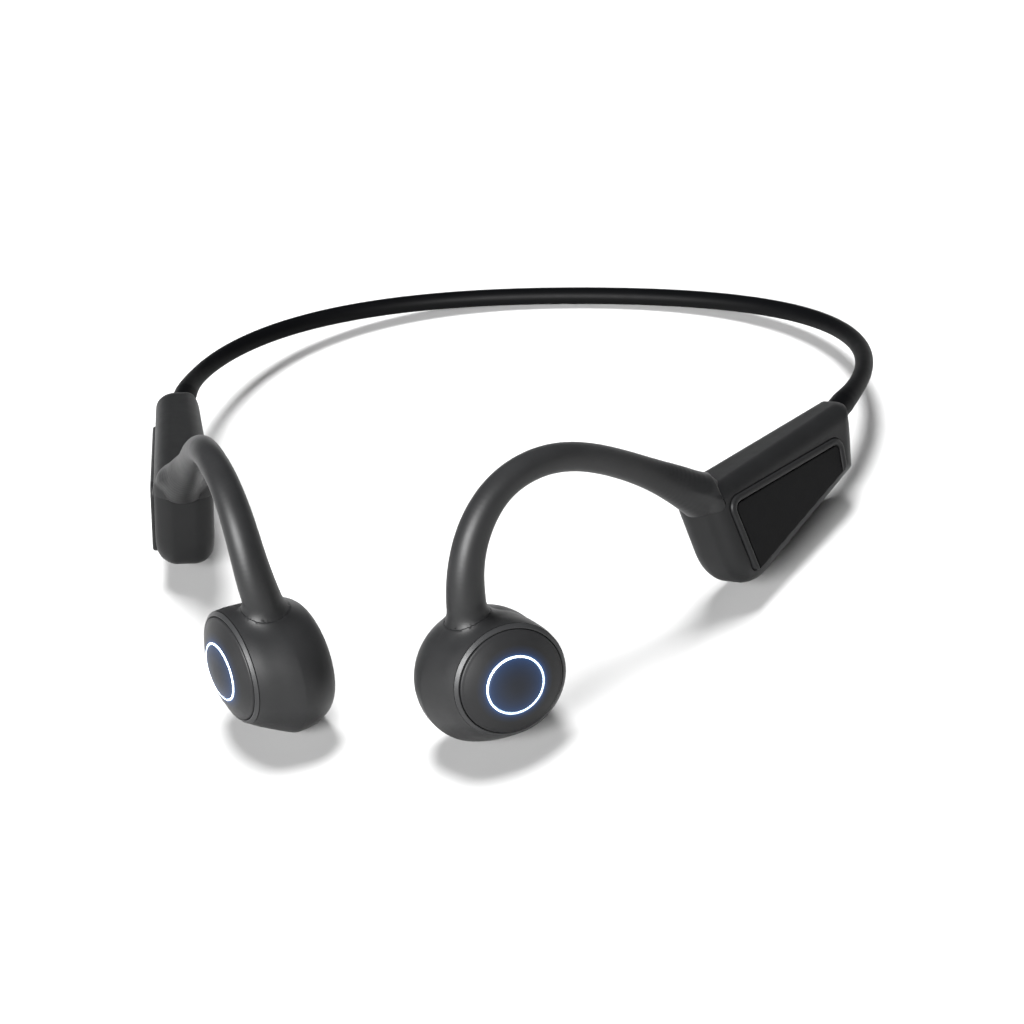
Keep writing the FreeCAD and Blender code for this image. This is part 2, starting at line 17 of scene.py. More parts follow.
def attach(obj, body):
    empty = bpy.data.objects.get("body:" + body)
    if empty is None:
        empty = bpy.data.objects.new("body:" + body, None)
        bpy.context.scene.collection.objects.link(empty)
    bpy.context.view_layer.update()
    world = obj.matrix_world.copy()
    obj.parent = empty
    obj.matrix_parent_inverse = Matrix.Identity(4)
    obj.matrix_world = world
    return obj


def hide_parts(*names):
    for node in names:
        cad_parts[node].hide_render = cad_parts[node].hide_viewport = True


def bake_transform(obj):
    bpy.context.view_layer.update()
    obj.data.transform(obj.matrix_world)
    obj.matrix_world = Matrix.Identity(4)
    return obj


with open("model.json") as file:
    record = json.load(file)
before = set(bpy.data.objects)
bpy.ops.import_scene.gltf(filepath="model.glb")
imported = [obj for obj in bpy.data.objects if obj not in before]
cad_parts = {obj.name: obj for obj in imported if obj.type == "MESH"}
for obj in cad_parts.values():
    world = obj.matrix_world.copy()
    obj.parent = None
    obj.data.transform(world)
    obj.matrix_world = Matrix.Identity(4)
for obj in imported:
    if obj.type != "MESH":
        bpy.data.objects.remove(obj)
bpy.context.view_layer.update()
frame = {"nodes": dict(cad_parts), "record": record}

MM = 0.001
LEFT = 1
RIGHT = -1
SIDES = (("left", LEFT), ("right", RIGHT))

# Pod: a tapered case on edge. Local x runs back, y up its face and z outwards.
POD_ORIGIN = (57.0, -27.9, 16.4)
POD_SPLAY = 21.0
POD_LEAN = 12.0
POD_LENGTH = 48.0
POD_NOSE = -1.9
POD_TOP = (11.4, 3.0)
POD_FOOT = (-14.2, -10.2)
POD_CHIN = 10.0
POD_OUTER = 6.3
POD_INNER = (-6.4, -2.9)
POD_REAR_SLANT = 7.5
POD_WALL = 1.4
POD_PARTING = 6.5
NOSE_RADIUS = 4.3
NOSE_TAPER = 0.8
REAR_OUTER_RADIUS = 4.5
REAR_INNER_RADIUS = 2.5
SLANT_RADIUS = 1.5
TOP_RADIUS = 3.4
FOOT_RADIUS = 4.6
POD_BOX = ((-3, -16, -8), (50, 13, 7))

# Cover: its corners are (x, y, radius). Each step is an inset from its outline or a height in local z.
COVER_CORNERS = ((2.5, 7.9, 3.2), (39.7, -0.6, 3.0), (38.0, -7.65, 1.5), (3.1, -10.0, 1.8))
COVER_TOP = 7.0
COVER_FOOT = 5.0
COVER_GAP = 0.22
BEAD_RADIUS = 0.62
PANEL_INSETS = (1.55, 1.5, -0.2, 1.5)
PANEL_RECESS = 0.4
PANEL_RADIUS = 0.3
PANEL_JOINT = 0.16
OPENING_INSET = 1.7
OPENING_FLOOR = 2.1
GROOVE_INSET = 1.2
GROOVE_FLOOR = 4.62
PLUG_INSET = 1.85
PLUG_FOOT = 3.7
PLUG_TOP = 5.5
GASKET_OUTER_INSET = 0.35
GASKET_INNER_INSET = 1.65
GASKET_FOOT = 4.66
GASKET_TOP = 4.98
COVER_BOX = ((1, -12, 3.4), (43, 9.5, 7.5))

# Foot of the hook, over the top front corner of the pod.
BOOT_PROUD = 0.12
BOOT_GAP = 0.02
BOOT_REAR_OUTER = 1.9
BOOT_REAR_INNER = 10.7
BOOT_REAR_SCALE = 0.79
BOOT_CORNER = 1.2
BOOT_EDGE = 0.15
BOOT_FILLET = 4.5
BOOT_LEAST_FILLET = 0.05
BOOT_FILLET_START = 7.5
BOOT_FILLET_FULL = 12.5

# Hook: centre line and radius, from inside the capsule to inside the pod.
HOOK = ((20.6, -68.6, 25.2, 3.9), (21.4, -68.5, 32.2, 3.8), (22.4, -67.1, 38.9, 3.5),
        (24.6, -63.3, 45.7, 3.25), (28.6, -57.4, 50.5, 3.0), (34.2, -50.2, 51.1, 2.9),
        (39.9, -42.7, 47.1, 2.85), (45.5, -35.9, 40.3, 2.9), (50.5, -30.5, 33.3, 3.35),
        (55.3, -26.6, 26.7, 4.3), (57.7, -23.0, 20.0, 4.4))
HOOK_STEPS = 90
HOOK_CORE = 0.4
# Span in y over which the hook's painted shade darkens from its own tone to the pod's.
FOOT_SHADE_SPAN = (-42.0, -33.0)
HOOK_FILLET = 3.4
HOOK_SEAM = 0.9
SEAM_GAP = 0.09
HOOK_BOX = ((12, -78, 15), (72, -12, 56))

# Capsule: local z is the barrel's axis, outwards, through the middle of the disc.
# The barrel's outline is (height, radius).
CAPSULE_CENTRE = (24.8, -69.2, 15.8)
CAPSULE_AZIMUTH = 42.0
CAPSULE_ELEVATION = 10.0
BARREL_SHIFT = (-2.2, -1.6)
BARREL_LEAN_DEPTH = 8.0
BARREL = ((6.2, 11.65), (4.6, 12.25), (2.6, 12.8), (-1.0, 13.6), (-4.6, 13.6), (-7.6, 12.6),
          (-9.5, 11.0), (-10.2, 9.9))
BARREL_STEPS = 200
BARREL_STEEPEST = 1.5
BARREL_EDGE = 1.0
RIDGE_HEIGHT = 6.2
MOUTH_HEIGHT = 6.95
MOUTH_RADIUS = 10.95
TRIM_SEAM = 0.07
TRIM_INSET = 0.03
TRIM_STEP = 0.14
INNER_END = -10.2
WELL_RADIUS = 10.72
WELL_FLOOR = 5.4
CAVITY_RADIUS = 12.0
CAVITY_DEPTH = 3.6
CAVITY_TOP = -0.5
THROAT_RADIUS = 8.4
THROAT_FOOT = -1.0
THROAT_TOP = 6.0
CAPSULE_BOX = ((-18, -18, -11), (15, 19, 8))

# Disc, light ring and button share one dome. Depths are measured down from its height at the ring.
CAP_RADIUS = 10.6
CAP_DOME = 21.0
CAP_RIM = 0.45
CAP_WALL = 1.2
CAP_TOP = 9.05
CAP_DEPTHS = (1.5, 2.6)
RING_OUTER = 6.0
RING_INNER = 5.64
RING_GAP = 0.03
RING_PROUD = 0.04
RING_EDGE = (0.08, 0.02)
RING_FLANGE = 1.1
RING_DEPTHS = (1.25, 1.55, 1.95)
# Painted glow on the disc and button: where its emission starts and ends, measured from the disc's middle.
GLOW_INNER = 1.0
GLOW_OUTER = 8.0
BUTTON_RADIUS = 5.54
BUTTON_EDGE = 0.15
BUTTON_THICKNESS = 1.0
STEM_RADIUS = 1.6
STEM_DEPTH = 2.55
EDGE_BREAK = 0.1

# Skin pad, in the barrel's inner end. Its groove has four radii, from its inner edge to its outer edge.
PAD_RADIUS = 9.7
PAD_THICKNESS = 1.5
PAD_GAP = 0.05
PAD_ROLL = 0.7
PAD_FLANGE = 0.55
PAD_GROOVE = (6.6, 7.0, 7.35, 7.75)
PAD_GROOVE_DEPTH = 0.14
PAD_DISH_RADIUS = 3.0
PAD_DISH_DEPTH = 0.02
SEAT_GAP = 0.12
SEAT_SPARE = 0.7
SEAT_EDGE = 0.25

# Neckband: half of its centre line is one Bezier curve, from the pod to the middle of the nape.
BAND_POLES = ((75.1, 20.3, 15.9), (75.4, 22.4, 16.3), (89.0, 80.3, 1.95), (0.0, 80.3, 1.95))
BAND_START = 0.05
BAND_STEPS = 150
BAND_CROWDING = 1.15
BAND_RADIUS = 1.95
BAND_TAIL = 6.5
TAIL_STEPS = 12
TAIL_END = 0.08
FLARE_RADIUS = 2.5
FLARE_LENGTH = 12.0
FLARE_LEAD = 1.5
FLARE_GAP = 0.03
WIRE_RADIUS = 0.45
CABLE_RADIUS = 0.55
CABLE_OFFSET = 1.25

# Controls on the underside of the wearer's right pod, by their distance from the nose. They lie a little
# outwards of its middle, and their heights are measured out of the pod.
VOLUME_UP_AT = 13.5
VOLUME_DOWN_AT = 21.5
PORT_AT = 32.0
MICROPHONE_AT = 8.0
CONTROLS_OUTWARDS = 0.7
THROUGH = (-4, 3)
PILL_EDGE = 0.12
MICROPHONE_RADIUS = 0.5
KEY_LENGTH = 6.0
KEY_WIDTH = 2.2
KEY_DEPTH = 2.4
KEY_RISE = 0.5
KEY_CORNER = 1.05
KEY_GAP = 0.3
MARK_LENGTH = 1.5
MARK_WIDTH = 0.34
MARK_RISE = 0.12
MARK_CORNER = 0.16
KEY_BOX = ((-4.5, -2.5, -2.5), (4.5, 4.0, 2.5))
KEY_STEP = 0.12
FLAP_LENGTH = 11.0
FLAP_WIDTH = 4.2
FLAP_THICKNESS = 0.9
FLAP_CORNER = 1.0
RECESS_SPARE = (1.0, 0.5)
RECESS_FLOOR = -1.05
RECESS_CORNER = 1.25
RECESS_EDGE = 0.1
SOCKET_OPENING = (9.2, 3.4)
SOCKET_CORNER = 1.6
FLAP_PLUG = (7.6, 2.4)
FLAP_PLUG_HEIGHTS = (-1.8, -0.5)
FLAP_PLUG_CORNER = 0.8
NAIL_NOTCH_RADIUS = 1.2
NAIL_NOTCH_OFFSET = 0.5
NAIL_NOTCH_DEPTH = 0.45
HINGE_CHAMFER = 0.45
FLAP_BOX = ((-6.5, -1.5, -3.2), (6.5, 3.5, 3.2))
FLAP_STEP = 0.18

# Camera: its place, the directions of the picture's right and up, and its lens.
CAMERA_PLACE = (227.81, -510.16, 396.48)
CAMERA_RIGHT = (0.9449, 0.2738, -0.1794)
CAMERA_UP = (-0.0248, 0.6066, 0.7947)
CAMERA_LENS = 112.5
SENSOR_WIDTH = 36
FLOOR_REACH = 60.0

CONTOUR_STEP = 0.34
FINE_STEP = 0.25
ROOT_STEPS = 3
NORMAL_REACH = 0.02
FLAT_SHARE = 0.08
BLOCK = 4
CHUNK = 60000
TURNS = 192


# ---------------------------------------------------------------- frames

def local_frame(origin, x_axis, y_axis, z_axis):
    """4x4 that carries local millimetres onto the row frame's millimetres."""
    matrix = Matrix((x_axis, y_axis, z_axis)).transposed().to_4x4()
    matrix.translation = Vector(origin)
    return matrix


def pod_frame():
    splay = math.radians(POD_SPLAY)
    lean = math.radians(POD_LEAN)
    along = Vector((math.sin(splay), math.cos(splay), 0))
    level = Vector((math.cos(splay), -math.sin(splay), 0))
    out = level * math.cos(lean) + Vector((0, 0, math.sin(lean)))
    return local_frame(POD_ORIGIN, along, out.cross(along), out)


def capsule_frame():
    azimuth = math.radians(CAPSULE_AZIMUTH)
    elevation = math.radians(CAPSULE_ELEVATION)
    across = Vector((math.cos(azimuth), math.sin(azimuth), 0))
    level = Vector((math.sin(azimuth), -math.cos(azimuth), 0))
    out = level * math.cos(elevation) + Vector((0, 0, math.sin(elevation)))
    return local_frame(CAPSULE_CENTRE, across, out.cross(across), out)


POD = pod_frame()
CAPSULE = capsule_frame()
WORLD = Matrix.Identity(4)


def carried(points, matrix):
    """Points moved by a 4x4, as an array."""
    m = np.array(matrix)
    return points @ m[:3, :3].T + m[:3, 3]


# ---------------------------------------------------------------- joining fields

def round_max(a, b, radius):
    """Intersection of two fields with an edge rounded to a radius."""
    corner = np.hypot(np.maximum(a + radius, 0), np.maximum(b + radius, 0)) - radius
    return np.where((a > -radius) & (b > -radius), corner, np.maximum(a, b))


def soft_min(a, b, reach):
    """Union of two fields with a soft fillet."""
    near = np.maximum(reach - np.abs(a - b), 0) / reach
    return np.minimum(a, b) - near * near * reach / 4


def cut(a, b, radius=0.0):
    """The first field without the second."""
    return round_max(a, -b, radius) if radius else np.maximum(a, -b)


def smooth_step(value, low, high):
    t = np.clip((value - low) / (high - low), 0, 1)
    return t * t * (3 - 2 * t)


def line_distance(p, point, normal):
    """Distance in a plane to the line through a point, positive on the side of its normal."""
    n = np.array(normal) / np.hypot(*normal)
    return (p[:, 0] - point[0]) * n[0] + (p[:, 1] - point[1]) * n[1]


def polygon(p, corners, insets):
    """Signed distance in a plane to a convex polygon with (x, y, radius) corners, given clockwise.

    Each side is drawn in by its inset, and each corner's radius shrinks with the sides that meet there."""
    count = len(corners)
    lines = []
    for index in range(count):
        ax, ay, _ = corners[index]
        bx, by, _ = corners[(index + 1) % count]
        lines.append(line_distance(p, (ax, ay), (-(by - ay), bx - ax)) + insets[index])
    field = np.max(lines, axis=0)
    for index in range(count):
        radius = corners[index][2] - max(insets[index - 1], insets[index], 0)
        if radius > 0:
            field = np.maximum(field, round_max(lines[index - 1], lines[index], radius))
    return field


def natural_spline(knots, values, at):
    """Natural cubic spline through rows of values, read at other knots."""
    knots = np.asarray(knots, float)
    values = np.asarray(values, float).reshape(len(knots), -1)
    gaps = np.diff(knots)
    system = np.eye(len(knots))
    right = np.zeros_like(values)
    for i in range(1, len(knots) - 1):
        system[i, i - 1:i + 2] = gaps[i - 1], 2 * (gaps[i - 1] + gaps[i]), gaps[i]
        rise = (values[i + 1] - values[i]) / gaps[i] - (values[i] - values[i - 1]) / gaps[i - 1]
        right[i] = 3 * rise
    c = np.linalg.solve(system, right)
    i = np.clip(np.searchsorted(knots, at, side="right") - 1, 0, len(gaps) - 1)
    t = (np.asarray(at) - knots[i])[:, None]
    h = gaps[i][:, None]
    d = (c[i + 1] - c[i]) / (3 * h)
    b = (values[i + 1] - values[i]) / h - h * (2 * c[i] + c[i + 1]) / 3
    return values[i] + b * t + c[i] * t * t + d * t ** 3


def along_spline(rows, steps):
    """Even samples of a natural spline through rows, spaced by their distances."""
    rows = np.asarray(rows, float)
    knots = np.concatenate(([0], np.cumsum(np.linalg.norm(np.diff(rows[:, :3], axis=0), axis=1))))
    return natural_spline(knots, rows, np.linspace(0, knots[-1], steps))


def tapered_tube(p, samples):
    """Distance to a tube whose centre line and radius are rows of (x, y, z, radius)."""
    best = np.full(len(p), np.inf)
    for start, end in zip(samples, samples[1:]):
        run = end[:3] - start[:3]
        offset = p - start[:3]
        t = np.clip(offset @ run / (run @ run), 0, 1)
        away = np.linalg.norm(offset - t[:, None] * run, axis=1)
        best = np.minimum(best, away - (start[3] + t * (end[3] - start[3])))
    return best


# ---------------------------------------------------------------- contouring

def evaluated(field, points):
    return np.concatenate([field(points[i:i + CHUNK]) for i in range(0, len(points), CHUNK)])


def crossings(field, low, step, values, axis):
    """Grid edges along one axis that the surface cuts: their index, cutting point and direction."""
    ahead = np.take(values, range(1, values.shape[axis]), axis)
    here = np.take(values, range(values.shape[axis] - 1), axis)
    index = np.argwhere((here < 0) != (ahead < 0))
    start_value = here[tuple(index.T)]
    end_value = ahead[tuple(index.T)]
    unit = np.eye(3)[axis]
    start = low + index * step
    a, b = np.zeros(len(index)), np.ones(len(index))
    fa, fb = start_value.copy(), end_value.copy()
    for _ in range(ROOT_STEPS):
        t = np.clip(a - fa * (b - a) / (fb - fa), a, b)
        ft = evaluated(field, start + t[:, None] * unit * step)
        same = (ft < 0) == (fa < 0)
        a, fa = np.where(same, t, a), np.where(same, ft, fa)
        b, fb = np.where(same, b, t), np.where(same, fb, ft)
    t = np.clip(a - fa * (b - a) / np.where(fb == fa, 1, fb - fa), 0, 1)
    return index, start + t[:, None] * unit * step, start_value < 0


def slopes(field, points, reach):
    """Unit normals of a field."""
    columns = []
    for unit in np.eye(3) * reach:
        columns.append(evaluated(field, points + unit) - evaluated(field, points - unit))
    normals = np.stack(columns, 1)
    return normals / np.maximum(np.linalg.norm(normals, axis=1, keepdims=True), 1e-12)


def grid_points(low, step, shape):
    axes = [low[i] + step * np.arange(shape[i]) for i in range(3)]
    return np.stack(np.meshgrid(*axes, indexing="ij"), -1).reshape(-1, 3)


def sampled(field, low, step, blocks):
    """The field on a grid: at every point near the surface, and once for each block of points elsewhere."""
    middle = low + step * (BLOCK - 1) / 2
    coarse = evaluated(field, grid_points(middle, step * BLOCK, blocks)).reshape(blocks)
    values = coarse
    for axis in range(3):
        values = np.repeat(values, BLOCK, axis)
    near = np.abs(values) < step * BLOCK
    index = np.argwhere(near)
    values[near] = evaluated(field, low + index * step)
    return values


def contour(field, low, high, step=CONTOUR_STEP):
    """Quad mesh of a field's surface by dual contouring, which puts vertices on its edges and corners."""
    low, high = np.array(low, float), np.array(high, float)
    blocks = np.ceil((high - low) / step / BLOCK).astype(int) + 1
    shape = blocks * BLOCK
    values = sampled(field, low, step, blocks)
    strides = np.array((shape[1] * shape[2], shape[2], 1))
    cells, points, normals, quads, flips = [], [], [], [], []
    for axis in range(3):
        index, cut_points, inside_first = crossings(field, low, step, values, axis)
        cut_normals = slopes(field, cut_points, step * NORMAL_REACH)
        b, c = [np.eye(3, dtype=int)[(axis + k) % 3] for k in (1, 2)]
        ring = [index, index - b, index - b - c, index - c]
        quads.append(np.stack([corner @ strides for corner in ring], 1))
        flips.append(inside_first)
        for corner in quads[-1].T:
            cells.append(corner)
            points.append(cut_points)
            normals.append(cut_normals)
    quads, flips = np.concatenate(quads), np.concatenate(flips)
    cells, points, normals = np.concatenate(cells), np.concatenate(points), np.concatenate(normals)
    used, owner = np.unique(cells, return_inverse=True)
    count = np.bincount(owner).astype(float)

    def summed(rows):
        return np.stack([np.bincount(owner, rows[:, k]) for k in range(rows.shape[1])], 1)

    middle = summed(points) / count[:, None]
    reach = np.einsum("ij,ij->i", normals, points - middle[owner])
    ata = summed((normals[:, :, None] * normals[:, None, :]).reshape(-1, 9)).reshape(-1, 3, 3)
    atb = summed(normals * reach[:, None])
    sizes, axes_of = np.linalg.eigh(ata)
    keep = sizes > FLAT_SHARE * sizes[:, 2:3]
    inverse = np.where(keep, 1 / np.where(keep, sizes, 1), 0)
    shift = np.einsum("nij,nj,nkj,nk->ni", axes_of, inverse, axes_of, atb)
    corner = np.stack(np.unravel_index(used, shape), 1) * step + low
    vertices = np.clip(middle + shift, corner, corner + step)
    faces = np.searchsorted(used, quads)
    faces[~flips] = faces[~flips][:, ::-1]
    return vertices, faces


def lathe(profile, turns=TURNS):
    """Vertices and faces of a closed solid of revolution about local z, from (radius, height) points.

    The profile starts and ends on the axis or closes on itself."""
    on_axis = profile[0][0] == 0
    ring_rows = profile[1:-1] if on_axis else profile
    angles = np.arange(turns) * math.tau / turns
    vertices = [(r * math.cos(a), r * math.sin(a), z) for r, z in ring_rows for a in angles]
    faces = []
    rows = len(ring_rows)
    for row in range(rows - 1 if on_axis else rows):
        here, after = row * turns, (row + 1) % rows * turns
        for k in range(turns):
            n = (k + 1) % turns
            faces.append((here + k, here + n, after + n, after + k))
    if on_axis:
        for z, row in ((profile[0][1], 0), (profile[-1][1], rows - 1)):
            pole = len(vertices)
            vertices.append((0, 0, z))
            for k in range(turns):
                faces.append((row * turns + k, row * turns + (k + 1) % turns, pole))
    return np.array(vertices), faces


def arc(centre, radius, start, end, steps=6):
    """Points of an arc in a profile, angles in degrees."""
    angles = np.radians(np.linspace(start, end, steps))
    return [(centre[0] + radius * math.cos(a), centre[1] + radius * math.sin(a)) for a in angles]


# ---------------------------------------------------------------- pieces

def made(name, vertices, faces, matrix, side, material, sharp=38.0):
    """Object from local millimetres, on one side of the head, shaded smooth between sharp edges."""
    points = carried(np.asarray(vertices, float), matrix) * MM
    points[:, 0] *= side
    mesh = bpy.data.meshes.new(name)
    mesh.from_pydata(points.tolist(), [], [list(face) for face in faces])
    work = bmesh.new()
    work.from_mesh(mesh)
    bmesh.ops.recalc_face_normals(work, faces=work.faces)
    work.to_mesh(mesh)
    work.free()
    mesh.shade_smooth()
    mesh.set_sharp_from_angle(angle=math.radians(sharp))
    mesh.materials.append(material)
    piece = bpy.data.objects.new(name, mesh)
    bpy.context.scene.collection.objects.link(piece)
    return piece


def settled(piece, body, node):
    """The piece rides on a body and stands for a node, which it hides."""
    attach(piece, body)
    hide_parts(node)
    return piece


# ---------------------------------------------------------------- materials

# Sockets of a Mix node when it mixes colours, which share their names with its other kinds.
MIX_FACTOR = 0
MIX_A = 6
MIX_B = 7
MIX_RESULT = 2


def principled(name, colour, roughness, **inputs):
    """New material with its shader's own sockets set."""
    material = bpy.data.materials.new(name)
    material.use_nodes = True
    shader = material.node_tree.nodes["Principled BSDF"]
    shader.inputs["Base Color"].default_value = (*colour, 1)
    shader.inputs["Roughness"].default_value = roughness
    for socket, value in inputs.items():
        shader.inputs[socket.replace("_", " ")].default_value = value
    return material, material.node_tree, shader


def noise(tree, scale, detail=3.0, roughness=0.55):
    coordinates = tree.nodes.new("ShaderNodeTexCoord")
    texture = tree.nodes.new("ShaderNodeTexNoise")
    texture.inputs["Scale"].default_value = scale
    texture.inputs["Detail"].default_value = detail
    texture.inputs["Roughness"].default_value = roughness
    tree.links.new(coordinates.outputs["Object"], texture.inputs["Vector"])
    return texture


def ranged(tree, source, low, high):
    """A 0 to 1 output spread between two values."""
    spread = tree.nodes.new("ShaderNodeMapRange")
    spread.inputs["To Min"].default_value = low
    spread.inputs["To Max"].default_value = high
    tree.links.new(source, spread.inputs["Value"])
    return spread.outputs["Result"]


def varied(tree, shader, colour, amount, scale):
    """Faint cloudy variation of the base colour."""
    cloud = noise(tree, scale)
    ramp = tree.nodes.new("ShaderNodeValToRGB")
    ramp.color_ramp.elements[0].position = 0.3
    ramp.color_ramp.elements[1].position = 0.7
    ramp.color_ramp.elements[0].color = (*[c * (1 - amount) for c in colour], 1)
    ramp.color_ramp.elements[1].color = (*[c * (1 + amount) for c in colour], 1)
    tree.links.new(cloud.outputs["Fac"], ramp.inputs["Fac"])
    tree.links.new(ramp.outputs["Color"], shader.inputs["Base Color"])


def bumped(tree, shader, height, strength, distance):
    bump = tree.nodes.new("ShaderNodeBump")
    bump.inputs["Strength"].default_value = strength
    bump.inputs["Distance"].default_value = distance
    tree.links.new(height, bump.inputs["Height"])
    tree.links.new(bump.outputs["Normal"], shader.inputs["Normal"])


def moulded(name, colour, roughness, grain=9000.0, depth=0.00002, strength=0.35, **inputs):
    """Moulded plastic or rubber: faint colour clouds, uneven gloss and a fine spark-eroded grain."""
    material, tree, shader = principled(name, colour, roughness, **inputs)
    varied(tree, shader, colour, 0.10, 140.0)
    gloss = noise(tree, 420.0)
    tree.links.new(ranged(tree, gloss.outputs["Fac"], roughness - 0.05, roughness + 0.05),
                   shader.inputs["Roughness"])
    fine = noise(tree, grain, 2.0)
    bumped(tree, shader, fine.outputs["Fac"], strength, depth)
    return material


def hook_silicone_painted_shade(name, colour, foot_shade_colour, roughness):
    """The hook's silicone with painted light and shade: lighter along the hook, darker on its foot over the
    pod, in the pod's tone.
    """
    material = moulded(name, colour, roughness, Specular_IOR_Level=0.26)
    tree = material.node_tree
    shader = tree.nodes["Principled BSDF"]
    cloud = shader.inputs["Base Color"].links[0].from_socket
    split = tree.nodes.new("ShaderNodeSeparateXYZ")
    coordinates = tree.nodes.new("ShaderNodeTexCoord")
    tree.links.new(coordinates.outputs["Object"], split.inputs["Vector"])
    spread = tree.nodes.new("ShaderNodeMapRange")
    spread.interpolation_type = "SMOOTHSTEP"
    spread.inputs["From Min"].default_value = FOOT_SHADE_SPAN[0] * MM
    spread.inputs["From Max"].default_value = FOOT_SHADE_SPAN[1] * MM
    tree.links.new(split.outputs["Y"], spread.inputs["Value"])
    mix = tree.nodes.new("ShaderNodeMix")
    mix.data_type = "RGBA"
    tree.links.new(spread.outputs["Result"], mix.inputs[MIX_FACTOR])
    tree.links.new(cloud, mix.inputs[MIX_A])
    mix.inputs[MIX_B].default_value = (*foot_shade_colour, 1)
    tree.links.new(mix.outputs[MIX_RESULT], shader.inputs["Base Color"])
    return material


def brushed(name, colour, roughness):
    """Rolled or plated metal with a faint directional grain."""
    material, tree, shader = principled(name, colour, roughness, Metallic=1.0)
    coordinates = tree.nodes.new("ShaderNodeTexCoord")
    stretch = tree.nodes.new("ShaderNodeMapping")
    stretch.inputs["Scale"].default_value = (400, 9000, 9000)
    grain = tree.nodes.new("ShaderNodeTexNoise")
    tree.links.new(coordinates.outputs["Object"], stretch.inputs["Vector"])
    tree.links.new(stretch.outputs["Vector"], grain.inputs["Vector"])
    tree.links.new(ranged(tree, grain.outputs["Fac"], roughness - 0.08, roughness + 0.1),
                   shader.inputs["Roughness"])
    bumped(tree, shader, grain.outputs["Fac"], 0.2, 0.00001)
    return material


def wound(name, colour):
    """Enamelled copper turns."""
    material, tree, shader = principled(name, colour, 0.3, Metallic=1.0)
    coordinates = tree.nodes.new("ShaderNodeTexCoord")
    wave = tree.nodes.new("ShaderNodeTexWave")
    wave.bands_direction = "Z"
    wave.inputs["Scale"].default_value = 1800.0
    tree.links.new(coordinates.outputs["Object"], wave.inputs["Vector"])
    bumped(tree, shader, wave.outputs["Fac"], 0.6, 0.00005)
    return material


def ring_centre(side):
    centre = carried(np.array([[0, 0, CAP_TOP]]), CAPSULE)[0] * MM
    return (centre[0] * side, centre[1], centre[2])


def ring_normal(side):
    normal = np.array(CAPSULE)[:3, 2]
    return (normal[0] * side, normal[1], normal[2])


def painted_glow_plastic(kind, side, colour, glow):
    """Moulded plastic with a painted blue glow round the light ring: emission that fades away from the
    ring, standing in for the ring's light on the disc and button.
    """
    material = moulded(kind + ("_left" if side == LEFT else "_right"), colour, 0.46, Specular_IOR_Level=0.2)
    tree = material.node_tree
    shader = tree.nodes["Principled BSDF"]
    coordinates = tree.nodes.new("ShaderNodeTexCoord")
    offset = tree.nodes.new("ShaderNodeVectorMath")
    offset.operation = "SUBTRACT"
    offset.inputs[1].default_value = ring_centre(side)
    across = tree.nodes.new("ShaderNodeVectorMath")
    across.operation = "CROSS_PRODUCT"
    across.inputs[1].default_value = ring_normal(side)
    length = tree.nodes.new("ShaderNodeVectorMath")
    length.operation = "LENGTH"
    tree.links.new(coordinates.outputs["Object"], offset.inputs[0])
    tree.links.new(offset.outputs["Vector"], across.inputs[0])
    tree.links.new(across.outputs["Vector"], length.inputs[0])
    fade = tree.nodes.new("ShaderNodeFloatCurve")
    spread = tree.nodes.new("ShaderNodeMapRange")
    spread.inputs["From Min"].default_value = GLOW_INNER * MM
    spread.inputs["From Max"].default_value = GLOW_OUTER * MM
    tree.links.new(length.outputs["Value"], spread.inputs["Value"])
    curve = fade.mapping.curves[0]
    middle = ((RING_INNER + RING_OUTER) / 2 - GLOW_INNER) / (GLOW_OUTER - GLOW_INNER)
    points = ((0.0, 0.06), (middle * 0.5, 0.22), (middle * 0.85, 0.58), (middle, 1.0),
              (middle + (1 - middle) * 0.22, 0.5), (middle + (1 - middle) * 0.5, 0.14), (1.0, 0.0))
    curve.points[0].location = points[0]
    curve.points[1].location = points[-1]
    for point in points[1:-1]:
        curve.points.new(*point)
    fade.mapping.update()
    tree.links.new(spread.outputs["Result"], fade.inputs["Value"])
    power = tree.nodes.new("ShaderNodeMath")
    power.operation = "MULTIPLY"
    power.inputs[1].default_value = glow
    tree.links.new(fade.outputs["Value"], power.inputs[0])
    # Colour of the painted glow.
    shader.inputs["Emission Color"].default_value = (0.06, 0.30, 1.0, 1)
    tree.links.new(power.outputs["Value"], shader.inputs["Emission Strength"])
    return material


def light_guide():
    """Milky light guide, lit from behind, a little uneven between its lamps."""
    material, tree, shader = principled("light_guide", (0.8, 0.9, 1.0), 0.35)
    cloud = noise(tree, 260.0)
    shader.inputs["Emission Color"].default_value = (0.42, 0.70, 1.0, 1)
    tree.links.new(ranged(tree, cloud.outputs["Fac"], 0.70, 0.85), shader.inputs["Emission Strength"])
    return material


def circuit():
    """Solder mask with copper tracks showing through."""
    material, tree, shader = principled("circuit_board", (0.01, 0.09, 0.04), 0.35)
    coordinates = tree.nodes.new("ShaderNodeTexCoord")
    cells = tree.nodes.new("ShaderNodeTexBrick")
    cells.inputs["Scale"].default_value = 900.0
    cells.inputs["Color1"].default_value = (0.01, 0.09, 0.04, 1)
    cells.inputs["Color2"].default_value = (0.012, 0.12, 0.05, 1)
    cells.inputs["Mortar"].default_value = (0.05, 0.2, 0.07, 1)
    tree.links.new(coordinates.outputs["Object"], cells.inputs["Vector"])
    tree.links.new(cells.outputs["Color"], shader.inputs["Base Color"])
    bumped(tree, shader, cells.outputs["Fac"], 0.3, 0.00002)
    return material


# Base colours are very dark, because the lights are strong enough to turn a grey floor white.
CHARCOAL = (0.0070, 0.0071, 0.0074)
DARK = (0.0042, 0.0043, 0.0045)
BLACK = (0.0008, 0.00085, 0.0010)

